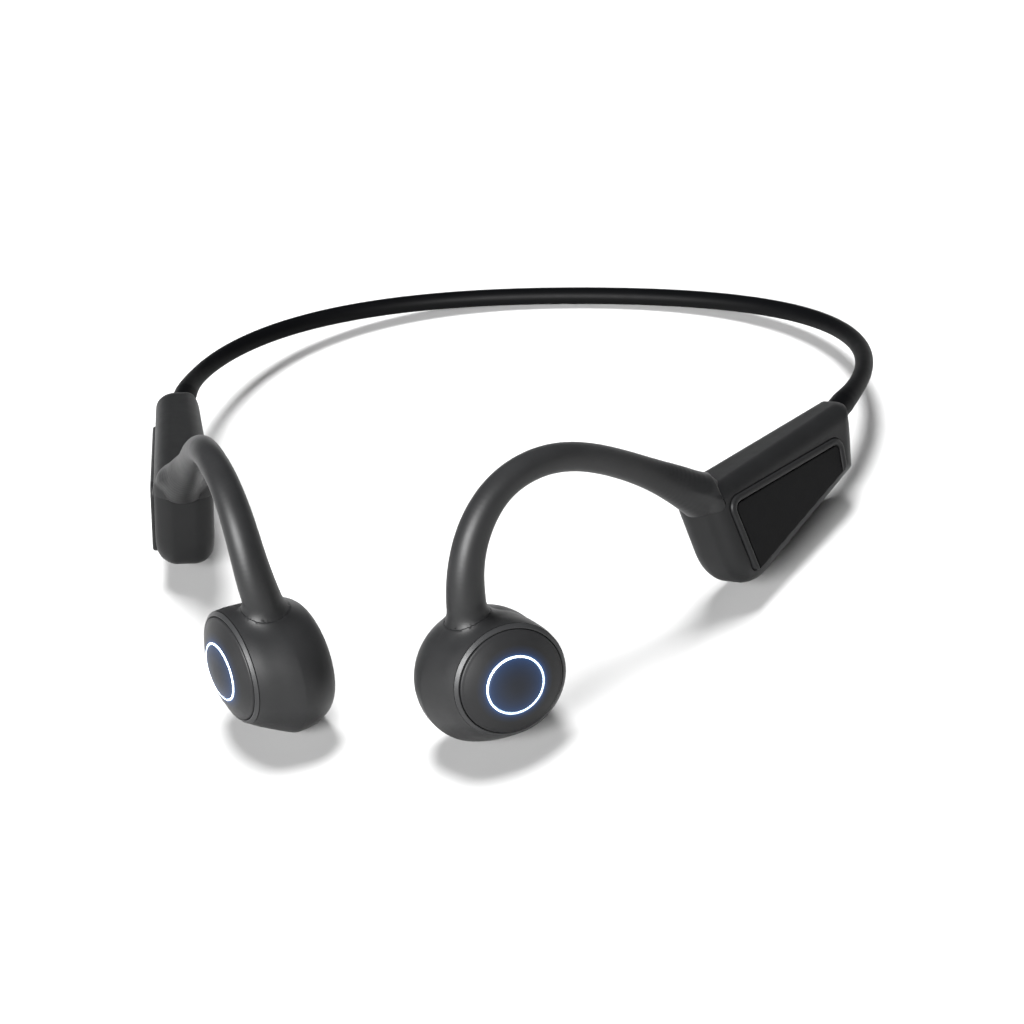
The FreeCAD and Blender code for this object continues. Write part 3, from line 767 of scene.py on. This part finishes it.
MATERIALS = {
    # The hook's silicone darkens towards its foot over the pod as painted shade.
    "silicone": hook_silicone_painted_shade("silicone", CHARCOAL, DARK, 0.46),
    "band_silicone": moulded("band_silicone", BLACK, 0.50, Specular_IOR_Level=0.06),
    "pod_plastic": moulded("pod_plastic", DARK, 0.46, Specular_IOR_Level=0.17),
    "cover_plastic": moulded("cover_plastic", (0.0015, 0.00155, 0.0018), 0.46, grain=2600.0, depth=0.00006,
                             Specular_IOR_Level=0.05),
    # The bead is lighter than the cover panel: a painted highlight for light catching its rounded edge.
    "bead_painted_highlight": moulded("bead_painted_highlight", (0.0055, 0.0056, 0.0058), 0.44, Specular_IOR_Level=0.15),
    "trim_plastic": moulded("trim_plastic", (0.012, 0.0122, 0.0127), 0.42, Specular_IOR_Level=0.30),
    "seal_rubber": moulded("seal_rubber", (0.012, 0.012, 0.012), 0.7),
    "capsule_plastic": moulded("capsule_plastic", CHARCOAL, 0.46, Specular_IOR_Level=0.26),
    "pad_silicone": moulded("pad_silicone", (0.040, 0.040, 0.043), 0.6),
    "key_rubber": moulded("key_rubber", (0.026, 0.026, 0.028), 0.55),
    "flap_silicone": moulded("flap_silicone", (0.022, 0.022, 0.024), 0.6),
    "cable": moulded("cable", (0.02, 0.02, 0.02), 0.6),
    "switch_body": moulded("switch_body", (0.10, 0.10, 0.10), 0.5),
    "foam": moulded("foam", (0.05, 0.05, 0.05), 0.9, grain=3000.0, depth=0.0001),
    "antenna_ceramic": moulded("antenna_ceramic", (0.75, 0.75, 0.70), 0.3),
    "memory_wire": brushed("memory_wire", (0.62, 0.61, 0.60), 0.3),
    "spring_steel": brushed("spring_steel", (0.60, 0.60, 0.60), 0.28),
    "yoke_steel": brushed("yoke_steel", (0.50, 0.50, 0.50), 0.4),
    "magnet": brushed("magnet", (0.70, 0.70, 0.70), 0.15),
    "battery_foil": brushed("battery_foil", (0.65, 0.66, 0.68), 0.35),
    "shield_steel": brushed("shield_steel", (0.65, 0.65, 0.64), 0.3),
    "port_steel": brushed("port_steel", (0.55, 0.55, 0.56), 0.3),
    "microphone_can": brushed("microphone_can", (0.60, 0.58, 0.50), 0.3),
    "copper": wound("copper", (0.72, 0.35, 0.16)),
    "circuit_board": circuit(),
    "light_guide": light_guide(),
}


# ---------------------------------------------------------------- pod

def pod_body(p, shrink=0.0):
    """The pod's outer form, or the form drawn in by a wall."""
    plan = p[:, [0, 2]]
    outer = plan[:, 1] - POD_OUTER + shrink
    inner = line_distance(plan, (0, POD_INNER[0]), (POD_INNER[1] - POD_INNER[0], -POD_LENGTH)) + shrink
    front = POD_NOSE + shrink - plan[:, 0]
    rear = plan[:, 0] - POD_LENGTH + shrink
    nose = NOSE_RADIUS - NOSE_TAPER * shrink
    walls = np.maximum.reduce([round_max(outer, front, nose),
                               round_max(inner, front, nose),
                               round_max(outer, rear, REAR_OUTER_RADIUS),
                               round_max(inner, rear, REAR_INNER_RADIUS)])
    top = line_distance(p, (0, POD_TOP[0]), (POD_TOP[0] - POD_TOP[1], POD_LENGTH)) + shrink
    foot = line_distance(p, (0, POD_FOOT[0]), (POD_FOOT[1] - POD_FOOT[0], -POD_LENGTH)) + shrink
    slanted = (POD_TOP[1] - POD_FOOT[0], -POD_REAR_SLANT)
    slant = line_distance(p, (POD_LENGTH, POD_TOP[1]), slanted) + shrink
    chin = round_max(foot, front, POD_CHIN)
    below = round_max(chin, slant, SLANT_RADIUS)
    edge = 1.0 - shrink / NOSE_RADIUS
    return np.maximum.reduce([round_max(walls, top, TOP_RADIUS * edge),
                              round_max(walls, below, FOOT_RADIUS * edge),
                              round_max(top, slant, SLANT_RADIUS)])


def boot_zone(p):
    """Space that the foot of the hook takes: above the parting and in front of a slanted line.

    The scale turns the offset from that line into nearly its distance."""
    inwards = (POD_OUTER - p[:, 2]) / (POD_OUTER - POD_INNER[0])
    rear = BOOT_REAR_OUTER + (BOOT_REAR_INNER - BOOT_REAR_OUTER) * inwards
    return round_max(POD_PARTING - p[:, 1], (p[:, 0] - rear) * BOOT_REAR_SCALE, BOOT_CORNER)


def cover_outline(p, inset=0.0):
    return polygon(p[:, :2], COVER_CORNERS, (0, 0, 0, 0)) + inset


def panel_outline(p):
    """The recessed panel runs out over the cover's lower side, so the bead is on the other three."""
    return polygon(p[:, :2], COVER_CORNERS, PANEL_INSETS)


def underside_frame(distance):
    """On the flat of the pod's underside: x runs back, y outwards and z down, out of the pod."""
    slope = math.atan2(POD_FOOT[1] - POD_FOOT[0], POD_LENGTH)
    inner = POD_INNER[0] + (POD_INNER[1] - POD_INNER[0]) * distance / POD_LENGTH
    across = (POD_OUTER + inner) / 2 + CONTROLS_OUTWARDS
    origin = (distance, POD_FOOT[0] + distance * math.tan(slope), across)
    along = Vector((math.cos(slope), math.sin(slope), 0))
    down = Vector((math.sin(slope), -math.cos(slope), 0))
    return local_frame(origin, along, Vector((0, 0, 1)), down)


CONTROL_PLACES = (VOLUME_UP_AT, VOLUME_DOWN_AT, PORT_AT, MICROPHONE_AT)
UNDERSIDES = {place: underside_frame(place) for place in CONTROL_PLACES}


def pill(p, place, length, width, low, high, radius):
    """Field of a round-ended block on the underside, between two heights."""
    q = carried(p, UNDERSIDES[place].inverted())
    ends = np.maximum(np.abs(q[:, 0]) - (length / 2 - radius), 0)
    sides = np.maximum(np.abs(q[:, 1]) - (width / 2 - radius), 0)
    plan = np.hypot(ends, sides) - radius
    return round_max(plan, np.maximum(q[:, 2] - high, low - q[:, 2]), PILL_EDGE)


def pod_shell_field(p):
    """Hollow case, open on its outer face for the cover and at its rear for the neckband."""
    outside = cut(pod_body(p), boot_zone(p) - BOOT_GAP)
    cavity = np.maximum(pod_body(p, POD_WALL), POD_WALL - boot_zone(p))
    opening = np.maximum(cover_outline(p, OPENING_INSET), OPENING_FLOOR - p[:, 2])
    shell = cut(cut(outside, cavity), opening)
    groove = np.maximum(cover_outline(p, -COVER_GAP), GROOVE_FLOOR - p[:, 2])
    shell = cut(shell, np.maximum(groove, -cover_outline(p, GROOVE_INSET)))
    return cut(shell, flare_field(p) - FLARE_GAP)


def right_shell_field(p):
    """The wearer's right case, with openings for the keys, the port with its flap, and the microphone."""
    shell = pod_shell_field(p)
    for place in (VOLUME_UP_AT, VOLUME_DOWN_AT):
        slot = pill(p, place, KEY_LENGTH + KEY_GAP, KEY_WIDTH + KEY_GAP, *THROUGH, KEY_CORNER + KEY_GAP / 2)
        shell = cut(shell, slot, PILL_EDGE)
    shell = cut(shell, pill(p, PORT_AT, *SOCKET_OPENING, *THROUGH, SOCKET_CORNER))
    recess = pill(p, PORT_AT, FLAP_LENGTH + RECESS_SPARE[0], FLAP_WIDTH + RECESS_SPARE[1],
                  RECESS_FLOOR, THROUGH[1], RECESS_CORNER)
    shell = cut(shell, recess, RECESS_EDGE)
    q = carried(p, UNDERSIDES[MICROPHONE_AT].inverted())
    return cut(shell, np.hypot(q[:, 0], q[:, 1]) - MICROPHONE_RADIUS, PILL_EDGE)


def bead_field(p):
    """Raised bead round the cover, over the gasket."""
    band = np.maximum(cover_outline(p), PANEL_JOINT - panel_outline(p))
    return np.maximum(round_max(band, p[:, 2] - COVER_TOP, BEAD_RADIUS), COVER_FOOT - p[:, 2])


def cover_field(p):
    """Panel inside the bead, a little lower, with the plug behind it."""
    edge = np.maximum(cover_outline(p), panel_outline(p))
    face = round_max(edge, p[:, 2] - COVER_TOP + PANEL_RECESS, PANEL_RADIUS)
    panel = np.maximum(face, COVER_FOOT - p[:, 2])
    plug = np.maximum.reduce([cover_outline(p, PLUG_INSET), PLUG_FOOT - p[:, 2], p[:, 2] - PLUG_TOP])
    return np.minimum(panel, plug)


def gasket_field(p):
    band = np.maximum(cover_outline(p, GASKET_OUTER_INSET), -cover_outline(p, GASKET_INNER_INSET))
    return np.maximum.reduce([band, GASKET_FOOT - p[:, 2], p[:, 2] - GASKET_TOP])


# ---------------------------------------------------------------- neckband

def band_line():
    """Centre line of half the neckband, from inside the pod to the middle of the nape."""
    p0, p1, p2, p3 = [np.array(pole) for pole in BAND_POLES]
    t = (BAND_START + (1 - BAND_START) * np.linspace(0, 1, BAND_STEPS) ** BAND_CROWDING)[:, None]
    line = p0 * (1 - t) ** 3 + 3 * p1 * t * (1 - t) ** 2 + 3 * p2 * t * t * (1 - t) + p3 * t ** 3
    heading = line[0] - line[1]
    heading = heading / np.linalg.norm(heading)
    tail = [line[0] + heading * BAND_TAIL * share for share in np.linspace(1, TAIL_END, TAIL_STEPS)]
    return np.vstack([tail, line])


def band_radii(line):
    """Radius along the band: a flare where it leaves the pod, then even."""
    walked = np.concatenate(([0], np.cumsum(np.linalg.norm(np.diff(line, axis=0), axis=1))))
    start = BAND_TAIL - FLARE_LEAD
    fade = 1 - np.clip((walked - start) / FLARE_LENGTH, 0, 1)
    return BAND_RADIUS + (FLARE_RADIUS - BAND_RADIUS) * fade ** 2


BAND_LINE = band_line()
BAND_RADII = band_radii(BAND_LINE)


def flare_field(p):
    """The flared root of the neckband, where it goes into the pod, in the pod's frame."""
    tail = np.column_stack([BAND_LINE[:TAIL_STEPS], BAND_RADII[:TAIL_STEPS]])
    return tapered_tube(carried(p, POD), tail)


# ---------------------------------------------------------------- hook

HOOK_SAMPLES = along_spline(HOOK, HOOK_STEPS)


def hook_field(p):
    """The hook with its foot over the pod's top front corner, down to the seam round its root."""
    pod = carried(p, POD.inverted())
    tube = tapered_tube(p, HOOK_SAMPLES)
    above = np.maximum(tube, POD_PARTING - pod[:, 1])
    foot = np.maximum(pod_body(pod, -BOOT_PROUD), boot_zone(pod))
    reach = BOOT_LEAST_FILLET + BOOT_FILLET * smooth_step(pod[:, 1], BOOT_FILLET_START, BOOT_FILLET_FULL)
    joined = soft_min(above, foot, reach)
    joined = round_max(joined, np.minimum(boot_zone(pod), tube - HOOK_CORE), BOOT_EDGE)
    barrel = barrel_form(carried(p, CAPSULE.inverted()))
    return np.maximum(soft_min(joined, barrel, HOOK_FILLET), HOOK_SEAM + SEAM_GAP - barrel)


# ---------------------------------------------------------------- capsule

BARREL_HEIGHTS = np.linspace(INNER_END, RIDGE_HEIGHT, BARREL_STEPS)
BARREL_ROWS = np.array(BARREL[::-1])
BARREL_RADII = natural_spline(BARREL_ROWS[:, 0], BARREL_ROWS[:, 1], BARREL_HEIGHTS)[:, 0]
BARREL_SLOPES = np.gradient(BARREL_RADII, BARREL_HEIGHTS)


def barrel_form(p):
    """The capsule's outer form: a rounded drum that leans away from the disc, up to the trim ring."""
    lean = np.clip((RIDGE_HEIGHT - p[:, 2]) / BARREL_LEAN_DEPTH, 0, 1)
    across = np.hypot(p[:, 0] - BARREL_SHIFT[0] * lean, p[:, 1] - BARREL_SHIFT[1] * lean)
    radius = np.interp(p[:, 2], BARREL_HEIGHTS, BARREL_RADII)
    slope = np.interp(p[:, 2], BARREL_HEIGHTS, BARREL_SLOPES)
    side = (across - radius) / np.sqrt(1 + np.clip(slope, -BARREL_STEEPEST, BARREL_STEEPEST) ** 2)
    end = round_max(side, INNER_END - p[:, 2], BARREL_EDGE)
    return np.maximum.reduce([side, p[:, 2] - RIDGE_HEIGHT, end])


def capsule_shell_field(p):
    """Hollow barrel that the hook's root flows into, with a well for the disc and a seat for the pad."""
    tube = tapered_tube(carried(p, CAPSULE), HOOK_SAMPLES[:HOOK_STEPS // 3])
    barrel = barrel_form(p)
    whole = np.maximum(soft_min(tube, barrel, HOOK_FILLET), barrel - HOOK_SEAM)
    across = np.hypot(p[:, 0], p[:, 1])
    well = np.maximum(across - WELL_RADIUS, WELL_FLOOR - p[:, 2])
    away = np.hypot(p[:, 0] - BARREL_SHIFT[0], p[:, 1] - BARREL_SHIFT[1])
    cavity_foot = INNER_END + CAVITY_DEPTH
    cavity = np.maximum.reduce([away - CAVITY_RADIUS, cavity_foot - p[:, 2], p[:, 2] - CAVITY_TOP])
    throat = np.maximum.reduce([across - THROAT_RADIUS, THROAT_FOOT - p[:, 2], p[:, 2] - THROAT_TOP])
    seat = np.maximum(away - PAD_RADIUS - SEAT_GAP, p[:, 2] - (INNER_END + PAD_THICKNESS + SEAT_SPARE))
    return cut(cut(cut(cut(whole, well), cavity), throat), seat, SEAT_EDGE)


def trim_piece(side, name):
    """Chamfered ring round the disc, with a hairline seam to the barrel."""
    rim = BARREL[0][1] - TRIM_INSET
    wall = rim - TRIM_INSET
    low = RIDGE_HEIGHT + TRIM_SEAM
    profile = [(WELL_RADIUS, low), (rim - TRIM_STEP, low), (wall, low + 0.05), (wall, low + TRIM_STEP),
               (MOUTH_RADIUS + 0.13, MOUTH_HEIGHT - EDGE_BREAK), (MOUTH_RADIUS + TRIM_INSET, MOUTH_HEIGHT),
               (WELL_RADIUS + EDGE_BREAK, MOUTH_HEIGHT), (WELL_RADIUS, MOUTH_HEIGHT - EDGE_BREAK)]
    vertices, faces = lathe(profile)
    return made(name, vertices, faces, CAPSULE, side, MATERIALS["trim_plastic"], 25.0)


def dome(radius):
    """Height of the disc's shallow dome at a distance from its middle."""
    return CAP_TOP - math.sqrt(CAP_DOME ** 2 - RING_OUTER ** 2) + math.sqrt(CAP_DOME ** 2 - radius ** 2)


def cap_piece(side, name):
    """The disc: a shallow dome with a small rounded rim, open in the middle for the light ring."""
    edge = CAP_RADIUS - CAP_RIM
    skirt = CAP_RADIUS - CAP_WALL
    mouth = RING_OUTER + RING_GAP
    profile = [(skirt, WELL_FLOOR), (CAP_RADIUS, WELL_FLOOR)]
    profile += arc((edge, dome(edge) - CAP_RIM), CAP_RIM, 0, 62, 8)
    profile += [(r, dome(r)) for r in np.linspace(edge - EDGE_BREAK, mouth + 0.09, 24)]
    profile += [(mouth, CAP_TOP - EDGE_BREAK), (mouth, CAP_TOP - CAP_WALL),
                (RING_OUTER + CAP_WALL, CAP_TOP - CAP_DEPTHS[0]), (skirt, CAP_TOP - CAP_DEPTHS[1])]
    vertices, faces = lathe(profile)
    # The disc's plastic carries a painted blue glow round the light ring.
    plastic = painted_glow_plastic("cap_plastic", side, (0.0075, 0.0076, 0.008), 0.26)
    return made(name, vertices, faces, CAPSULE, side, plastic)


def ring_piece(side, name):
    """Light guide: a thin wall that stands just proud of the disc, on a flange behind it."""
    inset, drop = RING_EDGE
    flange = RING_OUTER + RING_FLANGE
    shoulder, step, foot = [CAP_TOP - depth for depth in RING_DEPTHS]
    profile = [(RING_INNER, foot), (flange, foot), (flange, step), (RING_OUTER, shoulder),
               (RING_OUTER, dome(RING_OUTER) - drop), (RING_OUTER - inset, dome(RING_OUTER) + RING_PROUD),
               (RING_INNER + inset, dome(RING_INNER) + RING_PROUD), (RING_INNER, dome(RING_INNER) - drop)]
    vertices, faces = lathe(profile)
    return made(name, vertices, faces, CAPSULE, side, MATERIALS["light_guide"])


def button_piece(side, name):
    """The disc's middle: the same dome, with a stem behind it."""
    reach = BUTTON_RADIUS
    profile = [(r, dome(r)) for r in np.linspace(0, reach - BUTTON_EDGE, 20)]
    profile += [(reach - 0.03, dome(reach) - 0.04), (reach, dome(reach) - BUTTON_EDGE),
                (reach, CAP_TOP - BUTTON_THICKNESS), (STEM_RADIUS, CAP_TOP - BUTTON_THICKNESS),
                (STEM_RADIUS, CAP_TOP - STEM_DEPTH), (0, CAP_TOP - STEM_DEPTH)]
    vertices, faces = lathe(profile)
    # The button's plastic carries a painted blue glow near the light ring.
    plastic = painted_glow_plastic("button_plastic", side, (0.0068, 0.0074, 0.0085), 0.17)
    return made(name, vertices, faces, CAPSULE, side, plastic)


def pad_piece(side, name):
    """Skin pad: a flat disc with a rolled rim, a shallow ring groove and a flange behind."""
    face = INNER_END
    back = face + PAD_THICKNESS
    reach = PAD_RADIUS - PAD_GAP
    dish = face + PAD_DISH_DEPTH
    groove = face + PAD_GROOVE_DEPTH
    profile = [(0, dish), (PAD_DISH_RADIUS, dish), (PAD_GROOVE[0], face), (PAD_GROOVE[1], groove),
               (PAD_GROOVE[2], groove), (PAD_GROOVE[3], face)]
    profile += arc((reach - PAD_ROLL, face + PAD_ROLL), PAD_ROLL, -90, 0, 8)
    profile += [(reach, back), (reach, back + PAD_FLANGE), (0, back + PAD_FLANGE)]
    vertices, faces = lathe(profile, 144)
    vertices = vertices + np.array((BARREL_SHIFT[0], BARREL_SHIFT[1], 0))
    return made(name, vertices, faces, CAPSULE, side, MATERIALS["pad_silicone"])


# ---------------------------------------------------------------- build

def hook_pieces():
    """The hook is contoured in the whole object's frame, because it spans both local frames."""
    vertices, faces = contour(hook_field, *HOOK_BOX)
    for label, side in SIDES:
        piece = made(label + "_hook", vertices, faces, WORLD, side, MATERIALS["silicone"])
        settled(piece, label + "_side", label + "_hook_sleeve")


def pod_pieces():
    for (label, side), field in zip(SIDES, (pod_shell_field, right_shell_field)):
        vertices, faces = contour(field, *POD_BOX)
        piece = made(label + "_pod_case", vertices, faces, POD, side, MATERIALS["pod_plastic"])
        settled(piece, label + "_side", label + "_pod_shell")
    for name, node, field, finish in (("cover", "pod_cover", cover_field, "cover_plastic"),
                                      ("bead", "pod_cover", bead_field, "bead_painted_highlight"),
                                      ("seal", "pod_gasket", gasket_field, "seal_rubber")):
        vertices, faces = contour(field, *COVER_BOX, FINE_STEP)
        for label, side in SIDES:
            piece = made(label + "_pod_" + name, vertices, faces, POD, side, MATERIALS[finish], 30.0)
            settled(piece, label + "_side", label + "_" + node)


def capsule_pieces():
    vertices, faces = contour(capsule_shell_field, *CAPSULE_BOX)
    for label, side in SIDES:
        body = label + "_side"
        shell = label + "_capsule_shell"
        barrel = made(label + "_capsule_body", vertices, faces, CAPSULE, side, MATERIALS["capsule_plastic"])
        settled(barrel, body, shell)
        settled(trim_piece(side, label + "_capsule_trim"), body, shell)
        settled(cap_piece(side, label + "_disc"), body, label + "_capsule_cap")
        settled(ring_piece(side, label + "_lit_ring"), body, label + "_light_ring")
        button = button_piece(side, label + "_disc_button")
        settled(button, label + "_function_button", label + "_button")
        settled(pad_piece(side, label + "_skin_pad"), body, label + "_contact_pad")


def band_half(name, node, side, radii, offset, material, sectors):
    """Round tube beside the band's centre line, as rings of vertices."""
    headings = np.gradient(BAND_LINE, axis=0)
    headings /= np.linalg.norm(headings, axis=1, keepdims=True)
    headings[-1] = (-1, 0, 0)
    vertices = []
    for point, heading, radius in zip(BAND_LINE, headings, radii):
        across = np.cross(heading, (0, 0, 1))
        across /= np.linalg.norm(across)
        rise = np.cross(across, heading)
        for k in range(sectors):
            angle = k * math.tau / sectors
            spoke = math.cos(angle) * across + math.sin(angle) * rise
            vertices.append(point + rise * offset + radius * spoke)
    faces = []
    for row in range(len(BAND_LINE) - 1):
        here = row * sectors
        after = here + sectors
        for k in range(sectors):
            n = (k + 1) % sectors
            faces.append((here + k, here + n, after + n, after + k))
    faces.append(tuple(range(sectors)))
    faces.append(tuple(range(len(vertices) - sectors, len(vertices))))
    piece = made(name, vertices, faces, WORLD, side, material)
    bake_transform(piece)
    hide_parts(node)
    return piece


def band_pieces():
    even = np.ones(len(BAND_LINE))
    for label, side in SIDES:
        sleeve = band_half(label + "_band", "neckband_sleeve", side, BAND_RADII, 0,
                           MATERIALS["band_silicone"], 36)
        wire = band_half(label + "_band_wire", "neckband_wire", side, even * WIRE_RADIUS, 0,
                         MATERIALS["memory_wire"], 10)
        cable = band_half(label + "_band_cable", "neckband_cable", side, even * CABLE_RADIUS,
                          CABLE_OFFSET, MATERIALS["cable"], 10)


def key_field(place, plus):
    """Volume key: a soft pill with a raised bar, or a raised cross."""
    def field(p):
        top = KEY_RISE + MARK_RISE
        marks = [pill(p, place, KEY_LENGTH, KEY_WIDTH, -KEY_DEPTH, KEY_RISE, KEY_CORNER),
                 pill(p, place, MARK_LENGTH, MARK_WIDTH, 0, top, MARK_CORNER)]
        if plus:
            marks.append(pill(p, place, MARK_WIDTH, MARK_LENGTH, 0, top, MARK_CORNER))
        return np.minimum.reduce(marks)
    return field


def flap_field(p):
    """The port's flap: a lid with a plug behind it, a nail notch at its rear and a chamfered edge."""
    lid = pill(p, PORT_AT, FLAP_LENGTH, FLAP_WIDTH, -FLAP_THICKNESS, 0.0, FLAP_CORNER)
    plug = pill(p, PORT_AT, *FLAP_PLUG, *FLAP_PLUG_HEIGHTS, FLAP_PLUG_CORNER)
    q = carried(p, UNDERSIDES[PORT_AT].inverted())
    notch = np.hypot(q[:, 0] - FLAP_LENGTH / 2 - NAIL_NOTCH_OFFSET, q[:, 1]) - NAIL_NOTCH_RADIUS
    hinge_edge = (q[:, 2] - q[:, 0] - FLAP_LENGTH / 2 + HINGE_CHAMFER) * math.sqrt(0.5)
    whole = np.minimum(np.maximum(lid, hinge_edge), plug)
    return cut(whole, np.maximum(notch, -NAIL_NOTCH_DEPTH - q[:, 2]), EDGE_BREAK)


def control_piece(name, body, node, finish, place, field, box, step):
    """A piece on the underside of the wearer's right pod, contoured in a box around its place."""
    low, high = np.array(box) + np.array(UNDERSIDES[place].translation)
    vertices, faces = contour(field, low, high, step)
    piece = made(name, vertices, faces, POD, RIGHT, MATERIALS[finish])
    settled(piece, body, node)


def control_pieces():
    """The keys and the port flap."""
    for word, place in (("up", VOLUME_UP_AT), ("down", VOLUME_DOWN_AT)):
        control_piece("volume_" + word + "_cap", "volume_" + word + "_key", "right_volume_" + word,
                      "key_rubber", place, key_field(place, word == "up"), KEY_BOX, KEY_STEP)
    control_piece("port_cover_flap", "port_flap", "right_port_flap", "flap_silicone",
                  PORT_AT, flap_field, FLAP_BOX, FLAP_STEP)


def dress_nodes():
    """Every node that stays gets the material of its slot."""
    finishes = {row["node"]: row["material_slot"] for row in frame["record"]["subparts"]}
    for name, node in frame["nodes"].items():
        if node.hide_render:
            continue
        node.data.materials.clear()
        node.data.materials.append(MATERIALS[finishes[name]])


# ---------------------------------------------------------------- stage

def sun(name, source, strength, spread):
    """A broad distant light that shines from a direction."""
    data = bpy.data.lights.new(name, "SUN")
    data.energy = strength
    data.angle = math.radians(spread)
    light = bpy.data.objects.new(name, data)
    light.location = source
    light.rotation_euler = Vector(source).to_track_quat("Z", "Y").to_euler()
    bpy.context.scene.collection.objects.link(light)
    return light


def floor_piece():
    """A wide matt floor, grey enough to turn white only under both lights."""
    mesh = bpy.data.meshes.new("floor")
    reach = FLOOR_REACH
    corners = [(-reach, -reach, 0), (reach, -reach, 0), (reach, reach, 0), (-reach, reach, 0)]
    mesh.from_pydata(corners, [], [(0, 1, 2, 3)])
    mesh.materials.append(principled("floor", (0.25, 0.25, 0.25), 1.0, Specular_IOR_Level=0.0)[0])
    floor = bpy.data.objects.new("floor", mesh)
    bpy.context.scene.collection.objects.link(floor)


def lights():
    """A faint even sky, a low light in front and a high one that leaves no highlights."""
    world = bpy.data.worlds.new("studio")
    world.use_nodes = True
    sky = world.node_tree.nodes["Background"]
    sky.inputs["Color"].default_value = (1, 1, 1, 1)
    sky.inputs["Strength"].default_value = 0.08
    bpy.context.scene.world = world
    sun("key", source=(-0.75, -2.85, 1.56), strength=12.0, spread=35.0)
    back = sun("back", source=(-0.18, 0.84, 3.0), strength=13.5, spread=22.0)
    back.visible_glossy = False
    bpy.context.scene.view_settings.view_transform = "Standard"


def camera():
    data = bpy.data.cameras.new("camera")
    data.lens = CAMERA_LENS
    data.sensor_width = SENSOR_WIDTH
    data.clip_end = 2 * FLOOR_REACH
    right = Vector(CAMERA_RIGHT)
    up = Vector(CAMERA_UP)
    turned = Matrix((right, up, right.cross(up))).transposed().to_4x4()
    item = bpy.data.objects.new("camera", data)
    item.matrix_world = Matrix.Translation(Vector(CAMERA_PLACE) * MM) @ turned
    bpy.context.scene.collection.objects.link(item)
    bpy.context.scene.camera = item


camera()
floor_piece()
lights()
pod_pieces()
hook_pieces()
capsule_pieces()
band_pieces()
control_pieces()
dress_nodes()
